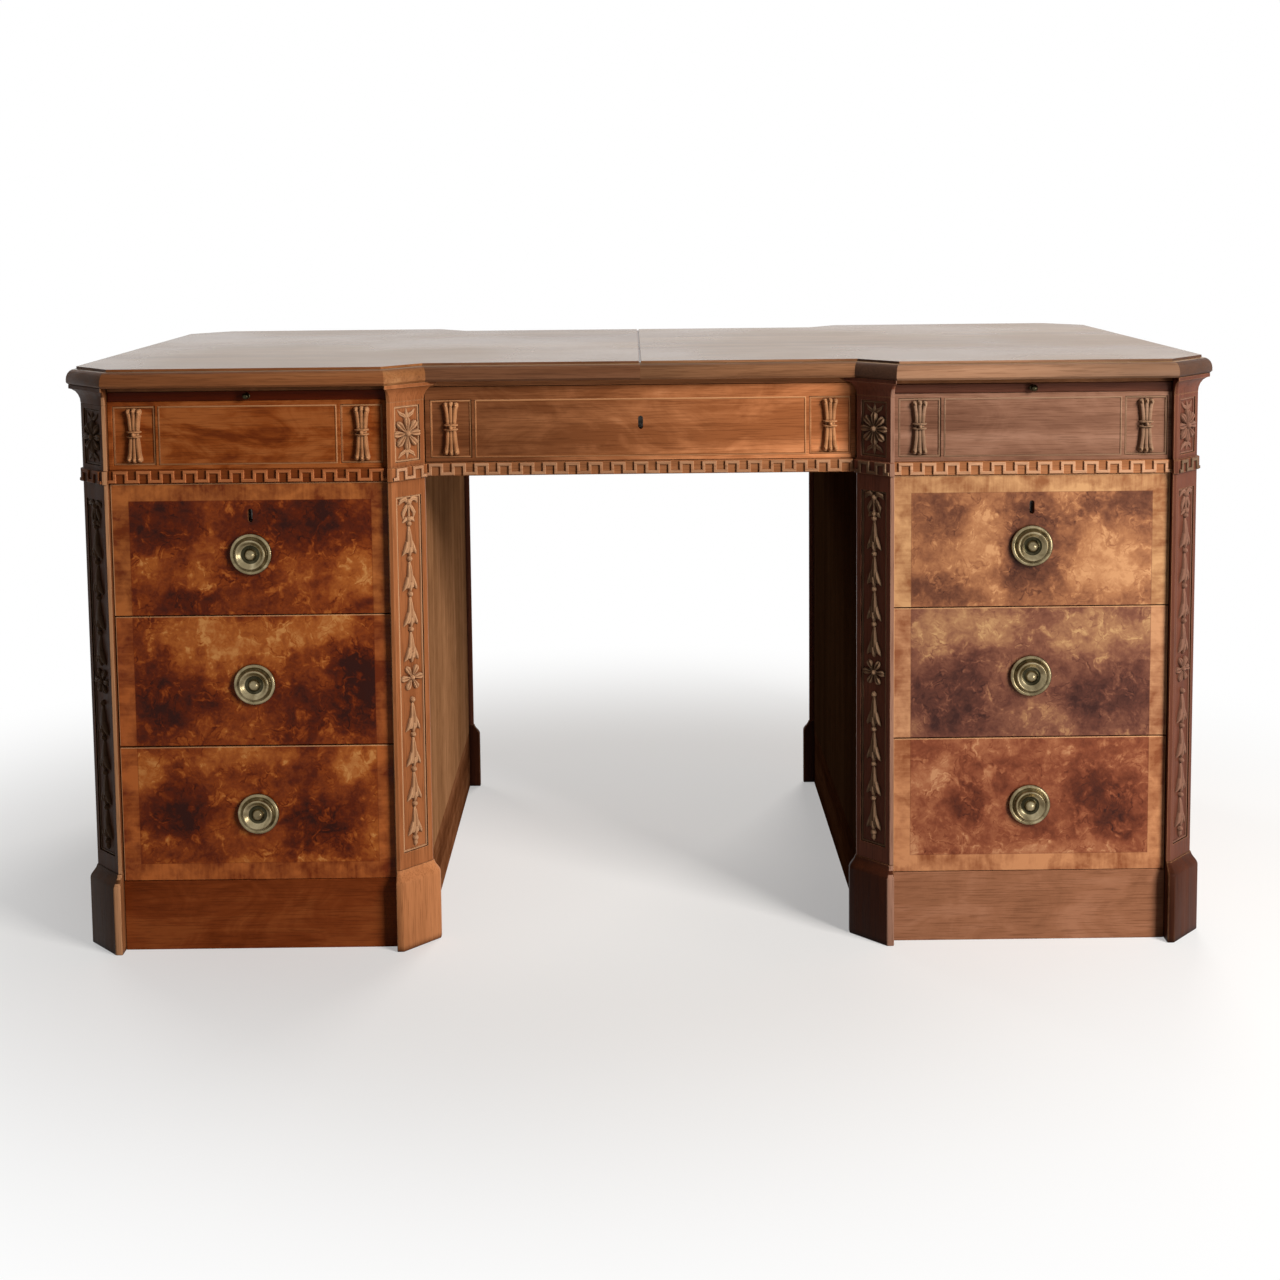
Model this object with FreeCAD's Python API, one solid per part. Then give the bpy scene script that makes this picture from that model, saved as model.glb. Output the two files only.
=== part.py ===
import FreeCAD, Part
import math
import os

# Pedestal desk in walnut: a moulded top in two halves, a frieze unit that bridges the kneehole,
# and two pedestals of three drawers each. Millimetres, +Z up, front towards -Y, +X to the right.
# The origin is on the floor, under the middle of the desk.

# Main plan sizes
kneehole_width = 576.0
pedestal_width = 454.0
carcass_depth = 700.0
edge_overhang = 20.0
cant_overhang = 11.0

# Heights, from the floor upwards
plinth_height = 95.0
bottom_front_height = 184.0
middle_front_height = 177.0
top_front_height = 177.0
key_height = 18.0
frieze_panel_height = 90.0
slide_space = 13.0
kicker_height = 7.0
top_thickness = 24.0

# Boards
panel_thickness = 18.0
panel_recess = 8.0
front_thickness = 20.0
rail_thickness = 18.0
rail_depth = 60.0
front_gap = 0.8
closing_gap = 0.5

# Moulded edge of the top
field_inset = 13.0
quirk_height = 3.0
quirk_width = 2.0
quirk_slope = 0.4
nose_flat = 4.0
under_chamfer = 3.0
seam_line_width = 3.0
seam_line_depth = 2.0
ovolo_steps = 5

# Canted posts, with their key band, sunk panels and capitals
post_size = 44.0
post_fillet = 5.0
key_projection = 3.0
key_slope = 0.5
sunk_depth = 2.5
post_panel_margin = 7.0
post_panel_end = 22.0
frieze_post_panel_end = 6.0
capital_height = 24.0
capital_fillet = 5.0
capital_flare = 17.0
capital_cant_flare = 9.0
capital_steps = 5

# Plinth blocks with ogee caps
block_height = 88.0
block_projection = 10.0
cap_height = 20.0
cap_fillet = 3.0
cap_seat_projection = 1.5
ogee_steps = 8

# Sunk end panels of the friezes, where the carved sheaves sit
sheaf_panel_width = 56.0
sheaf_panel_margin = 6.0

# Centre bay: how far its fronts stand behind the posts
centre_reveal = 1.0
centre_rail_height = 8.0
centre_box_clearance = 4.0
centre_back_gap = 50.0

# Drawer boxes
box_clearance = 1.5
box_headroom = 4.0
running_clearance = 0.3
side_thickness = 10.0
bottom_thickness = 6.0
bottom_rise = 8.0
groove_depth = 4.0
groove_clearance = 0.1
back_drop = 10.0
drawer_back_gap = 66.0
runner_width = 38.0
guide_height = 15.0

# Writing slides
slide_side_clearance = 1.0
slide_clearance = 0.4
slide_back_gap = 180.0
bearer_height = 12.0

# Turned brass drawer knobs
rose_radius = 28.0
rose_thickness = 3.0
rim_radius = 2.8
neck_radius = 13.0
waist_radius = 11.0
neck_length = 1.8
head_radius = 16.4
head_thickness = 1.2
ring_radius = 3.3
ring_lift = 2.0
button_radius = 6.2
shank_radius = 3.0
shank_clearance = 0.2
nut_radius = 7.0
nut_thickness = 4.0
middle_knob_drop = 4.5
top_knob_drop = 6.5

# Small knobs of the slides
slide_knob_radius = 4.6
slide_knob_neck_radius = 2.4
slide_knob_neck_length = 4.0
slide_knob_shank_radius = 1.8
slide_knob_shank_length = 14.0

# Locks and keyholes
keyhole_width = 6.5
keyhole_height = 18.0
lock_width = 60.0
lock_height = 44.0
lock_thickness = 11.0

# Dowels and screws
dowel_clearance = 0.1
seam_dowel_radius = 4.0
seam_dowel_length = 50.0
seam_dowel_shares = (-0.3, 0.0, 0.3)
post_dowel_radius = 5.0
post_dowel_length = 36.0
post_dowel_inset = 15.0
screw_radius = 2.0
screw_length = 18.0
screw_head_radius = 4.0
screw_head_height = 2.5
screw_inset = 9.0
screw_shares = (-0.7, 0.0, 0.7)

# One length by which cutting tools run past the faces that they open
overrun = 1.0
quarter_turn = 90.0
cant_angle = 45.0
root_two = math.sqrt(2.0)

# Plan lines that follow from the sizes above; depths are measured from the middle, front and back alike
inner_x = kneehole_width / 2
outer_x = inner_x + pedestal_width
pedestal_middle = (inner_x + outer_x) / 2
post_plane = carcass_depth / 2
post_cant = post_size - post_fillet
bay_left = inner_x + post_size
bay_right = outer_x - post_size
wall_left = inner_x + panel_recess + panel_thickness
wall_right = outer_x - panel_recess - panel_thickness
post_back = post_plane - post_size
front_plane = post_plane - panel_recess
front_back = front_plane - front_thickness
carcass_front = front_back - closing_gap
back_panel_front = front_plane - panel_thickness
centre_recess = post_size + key_projection + centre_reveal
centre_plane = post_plane - centre_recess
centre_back = centre_plane - front_thickness
centre_wall = inner_x + panel_recess
top_plane = post_plane + edge_overhang
top_side = outer_x + edge_overhang
centre_edge = top_plane - centre_recess

# Levels that follow from the heights
middle_level = plinth_height + bottom_front_height
upper_level = middle_level + middle_front_height
unit_level = upper_level + top_front_height
frieze_level = unit_level + key_height
slide_level = frieze_level + frieze_panel_height
kicker_level = slide_level + slide_space
top_level = kicker_level + kicker_height
desk_height = top_level + top_thickness
post_foot_level = block_height + cap_height
capital_level = top_level - capital_height
keyhole_drop = rail_thickness + box_headroom + lock_height / 2

up = FreeCAD.Vector(0, 0, 1)
to_front = FreeCAD.Vector(0, -1, 0)
to_right = FreeCAD.Vector(1, 0, 0)
middle = FreeCAD.Vector(0, 0, 0)


def board(x_pair, y_pair, z_pair):
    """A square-edged board between two limits on each axis."""
    low = FreeCAD.Vector(x_pair[0], y_pair[0], z_pair[0])
    return Part.makeBox(x_pair[1] - x_pair[0], y_pair[1] - y_pair[0], z_pair[1] - z_pair[0], low)


def rod(radius, start, length, direction):
    """A round rod from a start point."""
    return Part.makeCylinder(radius, length, start, direction)


def group(shapes):
    """Separate solids that share one node."""
    return Part.makeCompound(shapes)


def flipped_x(shape, plane=0.0):
    """The shape's mirror image across an upright plane that faces right."""
    return shape.mirror(FreeCAD.Vector(plane, 0, 0), to_right)


def flipped_y(shape):
    """The shape's mirror image from front to back."""
    return shape.mirror(middle, to_front)


def offset_outline(points, distances):
    """Moves each edge of an anticlockwise outline outwards by its own distance."""
    count = len(points)
    lines = []
    for i in range(count):
        ax, ay = points[i]
        bx, by = points[(i + 1) % count]
        length = math.hypot(bx - ax, by - ay)
        nx = (by - ay) / length
        ny = -(bx - ax) / length
        lines.append((nx, ny, nx * ax + ny * ay + distances[i]))
    moved = []
    for i in range(count):
        px, py, pd = lines[i - 1]
        qx, qy, qd = lines[i]
        det = px * qy - py * qx
        moved.append(((pd * qy - qd * py) / det, (px * qd - qx * pd) / det))
    return moved


def stacked_solid(sections):
    """A solid through level outlines that all have the same edges, each given as (height, points)."""
    rings = []
    for height, points in sections:
        rings.append([FreeCAD.Vector(x, y, height) for x, y in points])
    faces = [Part.Face(Part.makePolygon(ring + ring[:1])) for ring in (rings[0], rings[-1])]
    for lower, upper in zip(rings, rings[1:]):
        for i in range(len(lower)):
            j = (i + 1) % len(lower)
            faces.append(Part.Face(Part.makePolygon([lower[i], lower[j], upper[j], upper[i], lower[i]])))
    solid = Part.makeSolid(Part.makeShell(faces))
    if solid.Volume < 0:
        solid.reverse()
    return solid


def prism(points, low, high):
    """A solid of one outline between two levels."""
    return stacked_solid([(low, points), (high, points)])


def at_four_corners(shape):
    """Copies of a right-hand front outer corner piece at one pedestal's four corners."""
    front = [shape, flipped_x(shape, pedestal_middle)]
    return front + [flipped_y(piece) for piece in front]


def on_both_sides(shapes):
    """Right-hand pieces and their left-hand mirror images."""
    return shapes + [flipped_x(shape) for shape in shapes]


# The post's outline at the right-hand front outer corner: two inner faces, two narrow fillets and the cant
post_outline = [
    (bay_right, -post_back),
    (bay_right, -post_plane),
    (outer_x - post_cant, -post_plane),
    (outer_x, -post_plane + post_cant),
    (outer_x, -post_back),
]
cant_middle = FreeCAD.Vector(outer_x - post_cant / 2, -post_plane + post_cant / 2, 0)
cant_width = post_cant * root_two
post_dowel_place = FreeCAD.Vector(bay_right + post_dowel_inset, -post_back - post_dowel_inset, 0)


def post_outset(front, cant):
    """The post's outline with its fillets and its cant moved out."""
    return offset_outline(post_outline, [0, front, cant, front, 0])


def sunk_cant_panel(low, high):
    """The cutter for the sunk panel in the post's canted face."""
    width = cant_width - 2 * post_panel_margin
    cutter = Part.makeBox(width, sunk_depth + overrun, high - low, FreeCAD.Vector(-width / 2, -overrun, low))
    cutter.rotate(middle, up, cant_angle)
    cutter.translate(cant_middle)
    return cutter


post_dowel_start = post_dowel_place + up * (unit_level - post_dowel_length / 2)
post_dowel = rod(post_dowel_radius, post_dowel_start, post_dowel_length, up)
post_dowel_hole = rod(post_dowel_radius + dowel_clearance, post_dowel_start, post_dowel_length, up)


# Top, made in two halves that meet over the kneehole, with a narrow sunk line along the joint
def top_half():
    """The right-hand half of the top, with its moulded edge on every side but the seam."""
    outer_sum = outer_x + post_plane - post_cant + cant_overhang * root_two
    inner_difference = post_plane - inner_x - post_cant + cant_overhang * root_two
    front_half = [
        (0, -centre_edge),
        (centre_edge - inner_difference, -centre_edge),
        (top_plane - inner_difference, -top_plane),
        (outer_sum - top_plane, -top_plane),
        (top_side, top_side - outer_sum),
    ]
    outline = front_half + [(x, -y) for x, y in reversed(front_half)]

    def section(height, inset):
        return (height, offset_outline(outline, [-inset] * (len(outline) - 1) + [0]))

    nose_level = top_level + under_chamfer + nose_flat
    shoulder_level = desk_height - quirk_height - quirk_slope
    ovolo_width = field_inset - quirk_width
    sections = [section(top_level, under_chamfer), section(top_level + under_chamfer, 0)]
    for step in range(ovolo_steps + 1):
        turn = math.radians(quarter_turn * step / ovolo_steps)
        height = nose_level + (shoulder_level - nose_level) * math.sin(turn)
        sections.append(section(height, ovolo_width * (1 - math.cos(turn))))
    sections.append(section(desk_height - quirk_height, field_inset))
    sections.append(section(desk_height, field_inset))
    return stacked_solid(sections)


seam_dowels = []
seam_holes = []
for share in seam_dowel_shares:
    start = FreeCAD.Vector(-seam_dowel_length / 2, share * carcass_depth, top_level + top_thickness / 2)
    seam_dowels.append(rod(seam_dowel_radius, start, seam_dowel_length, to_right))
    seam_holes.append(rod(seam_dowel_radius + dowel_clearance, start, seam_dowel_length, to_right))

# Screws that hold the top: their heads are let into the kickers over the slides
screws = []
screw_holes = []
for x in (wall_left + screw_inset, wall_right - screw_inset):
    for share in screw_shares:
        foot = FreeCAD.Vector(x, share * post_back, kicker_level)
        head = rod(screw_head_radius, foot, screw_head_height, up)
        screws.append(head.fuse(rod(screw_radius, foot, screw_length, up)).removeSplitter())
        head_hole = rod(screw_head_radius + dowel_clearance, foot, screw_head_height, up)
        shank_hole = rod(screw_radius + dowel_clearance, foot, screw_length, up)
        screw_holes.append(head_hole.fuse(shank_hole))

seam_line_end = centre_edge - field_inset + overrun
seam_line_levels = (desk_height - seam_line_depth, desk_height + overrun)
seam_line = board((-overrun, seam_line_width / 2), (-seam_line_end, seam_line_end), seam_line_levels)
right_top = top_half().cut(group(seam_holes + screw_holes + [seam_line]))


# Frieze unit: posts with the key band round their feet, capitals, panels and rails
def frieze_post():
    """One canted post of the frieze unit, with the plain band on which the key pattern is carved."""
    sections = [
        (unit_level, post_outset(key_projection, key_projection)),
        (frieze_level - key_slope, post_outset(key_projection, key_projection)),
        (frieze_level, post_outset(0, 0)),
        (capital_level, post_outset(0, 0)),
    ]
    panel = sunk_cant_panel(frieze_level + frieze_post_panel_end, capital_level - frieze_post_panel_end)
    return stacked_solid(sections).cut(group([panel, post_dowel_hole]))


def post_capital():
    """A cavetto capital that spreads from the post to the underside of the top."""
    sections = []
    for step in range(capital_steps + 1):
        turn = math.radians(quarter_turn * step / capital_steps)
        spread = 1 - math.cos(turn)
        height = capital_level + (capital_height - capital_fillet) * math.sin(turn)
        sections.append((height, post_outset(capital_flare * spread, capital_cant_flare * spread)))
    sections.append((top_level, post_outset(capital_flare, capital_cant_flare)))
    return stacked_solid(sections)


def sheaf_panels(left, right, low, high, plane):
    """Cutters for the sunk panels at the two ends of a frieze front."""
    z_pair = (low + sheaf_panel_margin, high - sheaf_panel_margin)
    y_pair = (-plane - overrun, -plane + sunk_depth)
    left_pair = (left + sheaf_panel_margin, left + sheaf_panel_margin + sheaf_panel_width)
    right_pair = (right - sheaf_panel_margin - sheaf_panel_width, right - sheaf_panel_margin)
    return group([board(left_pair, y_pair, z_pair), board(right_pair, y_pair, z_pair)])


bay = (bay_left, bay_right)
front_layer = (-front_plane, -front_back)
back_layer = (back_panel_front, front_plane)
wall_layer = (-post_back, post_back)
inner_wall = (centre_wall, wall_left)
outer_wall = (wall_right, outer_x - panel_recess)
key_levels = (unit_level, frieze_level)
wall_levels = (frieze_level, top_level)
centre_bay = (-centre_wall, centre_wall)

frieze_panel = board(bay, front_layer, (frieze_level, slide_level))
frieze_panel = frieze_panel.cut(sheaf_panels(bay_left, bay_right, frieze_level, slide_level, front_plane))
frieze_top_rail = board(bay, front_layer, (kicker_level, top_level))
partition = board(inner_wall, wall_layer, wall_levels)
end_panel = board(outer_wall, wall_layer, wall_levels)
rear_panel = board(bay, back_layer, wall_levels)
rear_centre_panel = board(centre_bay, (centre_back, centre_plane), wall_levels)

# Key mouldings: each stands proud of the panel above it
front_key = board(bay, (-front_plane - key_projection, -front_back), key_levels)
rear_key = board(bay, (back_panel_front, front_plane + key_projection), key_levels)
inner_key = board((centre_wall - key_projection, wall_left), wall_layer, key_levels)
outer_key = board((wall_right, outer_x - panel_recess + key_projection), wall_layer, key_levels)
centre_key_half = centre_wall - key_projection
centre_key_span = (-centre_key_half, centre_key_half)
centre_key_rail = board(centre_key_span, (-centre_plane - key_projection, -centre_back), key_levels)
rear_centre_key = board(centre_key_span, (centre_back, centre_plane + key_projection), key_levels)
centre_rail_levels = (top_level - centre_rail_height, top_level)
centre_top_rail = board(centre_bay, (-centre_plane, -centre_back), centre_rail_levels)

# Bearers below, guides beside and kickers above each writing slide
slide_left = bay_left + slide_side_clearance
slide_right = bay_right - slide_side_clearance


def slide_strips(wall, guide_end, bearer_end):
    """The three strips that carry one edge of a slide, fixed to a wall of the frieze unit."""
    wide = tuple(sorted((wall, bearer_end)))
    narrow = tuple(sorted((wall, guide_end)))
    bearer = board(wide, wall_layer, (slide_level - bearer_height, slide_level))
    guide = board(narrow, wall_layer, (slide_level, kicker_level))
    kicker = board(wide, wall_layer, (kicker_level, top_level))
    return [bearer, guide, kicker.cut(group(screw_holes))]


slide_strip_set = slide_strips(wall_left, slide_left - running_clearance, wall_left + runner_width)
slide_strip_set += slide_strips(wall_right, slide_right + running_clearance, wall_right - runner_width)

# Runners, guides and kickers of the centre drawer
centre_box_half = inner_x - centre_box_clearance
centre_box_top = top_level - centre_rail_height - box_headroom
centre_strip_layer = (-centre_back, centre_back)
centre_runner_inner = centre_wall - runner_width
centre_runner = board((centre_runner_inner, centre_key_half), centre_strip_layer, key_levels)
centre_guide_span = (centre_box_half + running_clearance, centre_wall)
centre_guide = board(centre_guide_span, centre_strip_layer, (frieze_level, frieze_level + guide_height))
centre_kicker_levels = (centre_box_top + running_clearance, top_level)
centre_kicker = board((centre_runner_inner, centre_wall), centre_strip_layer, centre_kicker_levels)


# Pedestals
def pedestal_post():
    """One canted post of a pedestal, with its long sunk panel."""
    panel = sunk_cant_panel(post_foot_level + post_panel_end, unit_level - post_panel_end)
    return prism(post_outline, post_foot_level, unit_level).cut(group([panel, post_dowel_hole]))


def plinth_block():
    """A block under a post, with an ogee cap that draws in to the post."""
    outset = post_outset(block_projection, block_projection)
    sections = [(0, outset), (block_height + cap_fillet, outset)]
    for step in range(1, ogee_steps + 1):
        rise = step / ogee_steps
        draw = (1 + math.cos(math.pi * rise)) / 2
        spread = cap_seat_projection + (block_projection - cap_seat_projection) * draw
        height = block_height + cap_fillet + (cap_height - cap_fillet) * rise
        sections.append((height, post_outset(spread, spread)))
    return stacked_solid(sections)


def notched_board(low, high):
    """A board that fills the pedestal's plan, notched round its four posts."""
    front_half = [
        (wall_left, -post_back),
        (bay_left, -post_back),
        (bay_left, -carcass_front),
        (bay_right, -carcass_front),
        (bay_right, -post_back),
        (wall_right, -post_back),
    ]
    back_half = []
    for x, y in reversed(front_half):
        back_half.append((x, back_panel_front if y == -carcass_front else -y))
    return prism(front_half + back_half, low, high)


half_rail = rail_thickness / 2
panel_levels = (plinth_height, unit_level)
plinth_levels = (0, plinth_height)
pedestal_sides = [board(inner_wall, wall_layer, panel_levels), board(outer_wall, wall_layer, panel_levels)]
pedestal_back = board(bay, back_layer, panel_levels)
pedestal_top_board = notched_board(unit_level - rail_thickness, unit_level)
pedestal_bottom_board = notched_board(plinth_height - half_rail, plinth_height + half_rail)
plinth_boards = [
    board(bay, front_layer, plinth_levels),
    board(bay, back_layer, plinth_levels),
    board(inner_wall, wall_layer, plinth_levels),
    board(outer_wall, wall_layer, plinth_levels),
]

# Drawer rails, and behind them the runners, which also stop the drawer below from tipping
box_left = bay_left + box_clearance
box_right = bay_right - box_clearance
rail_back = carcass_front - rail_depth
drawer_rails = []
drawer_runners = []
for level in (middle_level, upper_level):
    rail_levels = (level - half_rail, level + half_rail)
    drawer_rails.append(board(bay, (-carcass_front, -rail_back), rail_levels))
    for x_pair in ((wall_left, wall_left + runner_width), (wall_right - runner_width, wall_right)):
        drawer_runners.append(board(x_pair, (-rail_back, post_back), rail_levels))
for level in (plinth_height, middle_level, upper_level):
    guide_levels = (level + half_rail, level + half_rail + guide_height)
    for x_pair in ((wall_left, box_left - running_clearance), (box_right + running_clearance, wall_right)):
        drawer_runners.append(board(x_pair, wall_layer, guide_levels))


# Drawers
def drawer_box(x_pair, y_pair, z_pair):
    """Two grooved sides, a bottom that slides into the grooves, and a back that stands on it."""
    left, right = x_pair
    low, high = z_pair
    inner_left = left + side_thickness
    inner_right = right - side_thickness
    bottom_low = low + bottom_rise
    bottom_high = bottom_low + bottom_thickness
    groove_span = (inner_left - groove_depth, inner_right + groove_depth)
    bottom_span = (groove_span[0] + groove_clearance, groove_span[1] - groove_clearance)
    groove_levels = (bottom_low - groove_clearance, bottom_high + groove_clearance)
    groove = board(groove_span, y_pair, groove_levels)
    sides = [board((left, inner_left), y_pair, z_pair), board((inner_right, right), y_pair, z_pair)]
    bottom = board(bottom_span, y_pair, (bottom_low, bottom_high))
    back_pair = (y_pair[1] - side_thickness, y_pair[1])
    back = board((inner_left, inner_right), back_pair, (bottom_high, high - back_drop))
    return group([side.cut(groove) for side in sides] + [bottom, back])


def keyhole_cutter(x, z, plane, depth):
    """A slot with round ends, cut right through a drawer front."""
    radius = keyhole_width / 2
    reach = keyhole_height / 2 - radius
    start = -plane - overrun
    length = depth + 2 * overrun
    slot = board((x - radius, x + radius), (start, start + length), (z - reach, z + reach))
    for end in (z - reach, z + reach):
        slot = slot.fuse(rod(radius, FreeCAD.Vector(x, start, end), length, -to_front))
    return slot


def lock_case(x, z, back):
    """The lock screwed to the back of a drawer front, its bolt drawn in."""
    span = (x - lock_width / 2, x + lock_width / 2)
    return board(span, (-back, -back + lock_thickness), (z - lock_height / 2, z + lock_height / 2))


def knob(x, z, plane):
    """A turned brass knob on its rose: the shank passes through the front to a nut inside the drawer."""
    face = FreeCAD.Vector(x, -plane, z)
    rose = rod(rose_radius - rim_radius, face, rose_thickness, to_front)
    rim_place = face + to_front * rim_radius
    rim = Part.makeTorus(rose_radius - rim_radius, rim_radius, rim_place, to_front)
    shank_hole = rod(shank_radius + shank_clearance, face, rose_thickness, to_front)
    rose = rose.fuse(rim).cut(shank_hole).removeSplitter()
    seat = face + to_front * rose_thickness
    neck = Part.makeCone(neck_radius, waist_radius, neck_length, seat, to_front)
    head_place = seat + to_front * neck_length
    head = rod(head_radius, head_place, head_thickness, to_front)
    ring_place = head_place + to_front * (head_thickness + ring_lift)
    ring = Part.makeTorus(head_radius, ring_radius, ring_place, to_front)
    button = Part.makeSphere(button_radius, head_place, to_front, 0, quarter_turn)
    shank_length = rose_thickness + front_thickness + nut_thickness
    shank = rod(shank_radius, seat - to_front * shank_length, shank_length, to_front)
    turned = neck.multiFuse([head, ring, button, shank]).removeSplitter()
    nut_place = face - to_front * (front_thickness + nut_thickness)
    nut = rod(nut_radius, nut_place, nut_thickness, to_front)
    nut = nut.cut(rod(shank_radius + shank_clearance, nut_place, nut_thickness, to_front))
    return group([rose, turned, nut])


def slide_knob(x, z, plane):
    """The small brass knob of a writing slide, with its shank in the slide's edge."""
    face = FreeCAD.Vector(x, -plane, z)
    neck = rod(slide_knob_neck_radius, face, slide_knob_neck_length, to_front)
    reach = slide_knob_neck_length + slide_knob_radius / 2
    ball = Part.makeSphere(slide_knob_radius, face + to_front * reach)
    shank_start = face - to_front * slide_knob_shank_length
    shank = rod(slide_knob_shank_radius, shank_start, slide_knob_shank_length, to_front)
    return neck.multiFuse([ball, shank]).removeSplitter()


# The three drawers of a pedestal, from the top down: front levels, box levels and knob drop
pedestal_drawers = (
    ("drawer_1", upper_level, unit_level, unit_level - rail_thickness, top_knob_drop),
    ("drawer_2", middle_level, upper_level, upper_level - half_rail, middle_knob_drop),
    ("drawer_3", plinth_height, middle_level, middle_level - half_rail, 0),
)
box_back = back_panel_front - drawer_back_gap

nodes = {
    "top_right_half": right_top,
    "top_left_half": flipped_x(right_top),
    "top_joint_dowels": group(seam_dowels),
    "top_fixing_screws": group(on_both_sides(screws)),
    "frieze_posts": group(on_both_sides(at_four_corners(frieze_post()))),
    "post_capitals": group(on_both_sides(at_four_corners(post_capital()))),
    "centre_rails": group([centre_key_rail, centre_top_rail]),
    "frieze_top_rails": group(on_both_sides([frieze_top_rail])),
    "frieze_end_panels": group(on_both_sides([end_panel])),
    "frieze_partitions": group(on_both_sides([partition])),
    "rear_frieze_panels": group(on_both_sides([rear_panel]) + [rear_centre_panel]),
    "key_mouldings": group(on_both_sides([front_key, rear_key, inner_key, outer_key]) + [rear_centre_key]),
    "slide_bearers": group(on_both_sides(slide_strip_set)),
    "centre_drawer_runners": group(on_both_sides([centre_runner, centre_guide, centre_kicker])),
    "unit_locating_dowels": group(on_both_sides(at_four_corners(post_dowel))),
}

right_pieces = {
    "frieze_panel": frieze_panel,
    "pedestal_posts": group(at_four_corners(pedestal_post())),
    "pedestal_side_panels": group(pedestal_sides),
    "pedestal_back_panel": pedestal_back,
    "pedestal_boards": group([pedestal_top_board, pedestal_bottom_board]),
    "drawer_rails": group(drawer_rails),
    "drawer_runners": group(drawer_runners),
    "plinth_boards": group(plinth_boards),
    "plinth_blocks": group(at_four_corners(plinth_block())),
}

front_span = (bay_left + front_gap, bay_right - front_gap)
for name, low, high, box_limit, knob_drop in pedestal_drawers:
    front = board(front_span, front_layer, (low + front_gap, high - front_gap))
    knob_level = (low + high) / 2 - knob_drop
    hole_start = FreeCAD.Vector(pedestal_middle, -front_back + overrun, knob_level)
    hole_length = front_thickness + 2 * overrun
    front = front.cut(rod(shank_radius + shank_clearance, hole_start, hole_length, to_front))
    if high == unit_level:
        lock_level = high - keyhole_drop
        front = front.cut(keyhole_cutter(pedestal_middle, lock_level, front_plane, front_thickness))
        right_pieces[name + "_lock"] = lock_case(pedestal_middle, lock_level, front_back)
    box_levels = (low + half_rail + running_clearance, box_limit - box_headroom)
    right_pieces[name + "_front"] = front
    right_pieces[name + "_box"] = drawer_box((box_left, box_right), (-front_back, box_back), box_levels)
    right_pieces[name + "_knob"] = knob(pedestal_middle, knob_level, front_plane)

# Writing slides above the pedestal friezes
slide_levels = (slide_level + slide_clearance, kicker_level - slide_clearance)
slide_middle = (slide_levels[0] + slide_levels[1]) / 2
slide_back = back_panel_front - slide_back_gap
slide = board((slide_left, slide_right), (-front_plane, slide_back), slide_levels)
hole_start = FreeCAD.Vector(pedestal_middle, -front_plane + slide_knob_shank_length, slide_middle)
hole_length = slide_knob_shank_length + overrun
slide = slide.cut(rod(slide_knob_shank_radius + shank_clearance, hole_start, hole_length, to_front))
right_pieces["slide"] = slide
right_pieces["slide_knob"] = slide_knob(pedestal_middle, slide_middle, front_plane)

for name, shape in right_pieces.items():
    nodes["right_" + name] = shape
    nodes["left_" + name] = flipped_x(shape)

# Centre drawer, in the frieze over the kneehole
centre_front_levels = (frieze_level + front_gap, top_level - centre_rail_height - front_gap)
centre_front_half = inner_x - front_gap
centre_lock_level = (centre_front_levels[0] + centre_front_levels[1]) / 2
centre_front_span = (-centre_front_half, centre_front_half)
centre_front = board(centre_front_span, (-centre_plane, -centre_back), centre_front_levels)
centre_front = centre_front.cut(sheaf_panels(*centre_front_span, frieze_level, slide_level, centre_plane))
centre_front = centre_front.cut(keyhole_cutter(0, centre_lock_level, centre_plane, front_thickness))
centre_box_levels = (frieze_level + running_clearance, centre_box_top)
centre_box_span = (-centre_box_half, centre_box_half)
nodes["centre_drawer_front"] = centre_front
centre_box_layer = (-centre_back, centre_back - centre_back_gap)
nodes["centre_drawer_box"] = drawer_box(centre_box_span, centre_box_layer, centre_box_levels)
nodes["centre_drawer_lock"] = lock_case(0, centre_lock_level, centre_back)

os.makedirs("parts", exist_ok=True)
for name, shape in sorted(nodes.items()):
    shape.exportStep("parts/" + name + ".step")
    sound = all(solid.isValid() and solid.Volume > 0 for solid in shape.Solids)
    print(name, len(shape.Solids), "solids", "sound" if sound else "NOT SOUND")
print(len(nodes), "nodes; desk", 2 * top_side, 2 * top_plane, desk_height)
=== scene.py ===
import math
import bmesh
import bpy
from mathutils import Matrix, Vector


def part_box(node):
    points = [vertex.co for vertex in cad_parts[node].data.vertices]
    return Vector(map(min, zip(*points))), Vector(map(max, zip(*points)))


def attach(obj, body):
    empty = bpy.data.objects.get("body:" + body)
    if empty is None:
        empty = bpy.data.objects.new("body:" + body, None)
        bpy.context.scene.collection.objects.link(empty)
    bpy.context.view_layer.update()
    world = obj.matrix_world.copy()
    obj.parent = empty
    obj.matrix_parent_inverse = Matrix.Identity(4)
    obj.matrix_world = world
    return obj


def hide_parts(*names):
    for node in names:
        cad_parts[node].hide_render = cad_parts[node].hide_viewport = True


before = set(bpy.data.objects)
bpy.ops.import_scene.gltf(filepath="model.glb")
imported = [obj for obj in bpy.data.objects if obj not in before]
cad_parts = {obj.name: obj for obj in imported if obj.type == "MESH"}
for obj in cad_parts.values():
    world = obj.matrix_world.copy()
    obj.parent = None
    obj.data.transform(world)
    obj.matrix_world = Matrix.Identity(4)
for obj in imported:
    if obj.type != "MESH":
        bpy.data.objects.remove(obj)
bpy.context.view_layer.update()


# Plinth blocks
# The eight corner blocks that the pedestals stand on: solid walnut with the outer corner canted,
# and an ogee cap worked round the top. The posts stand on them and the plinth boards run between.
sides = ("left", "right")


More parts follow.
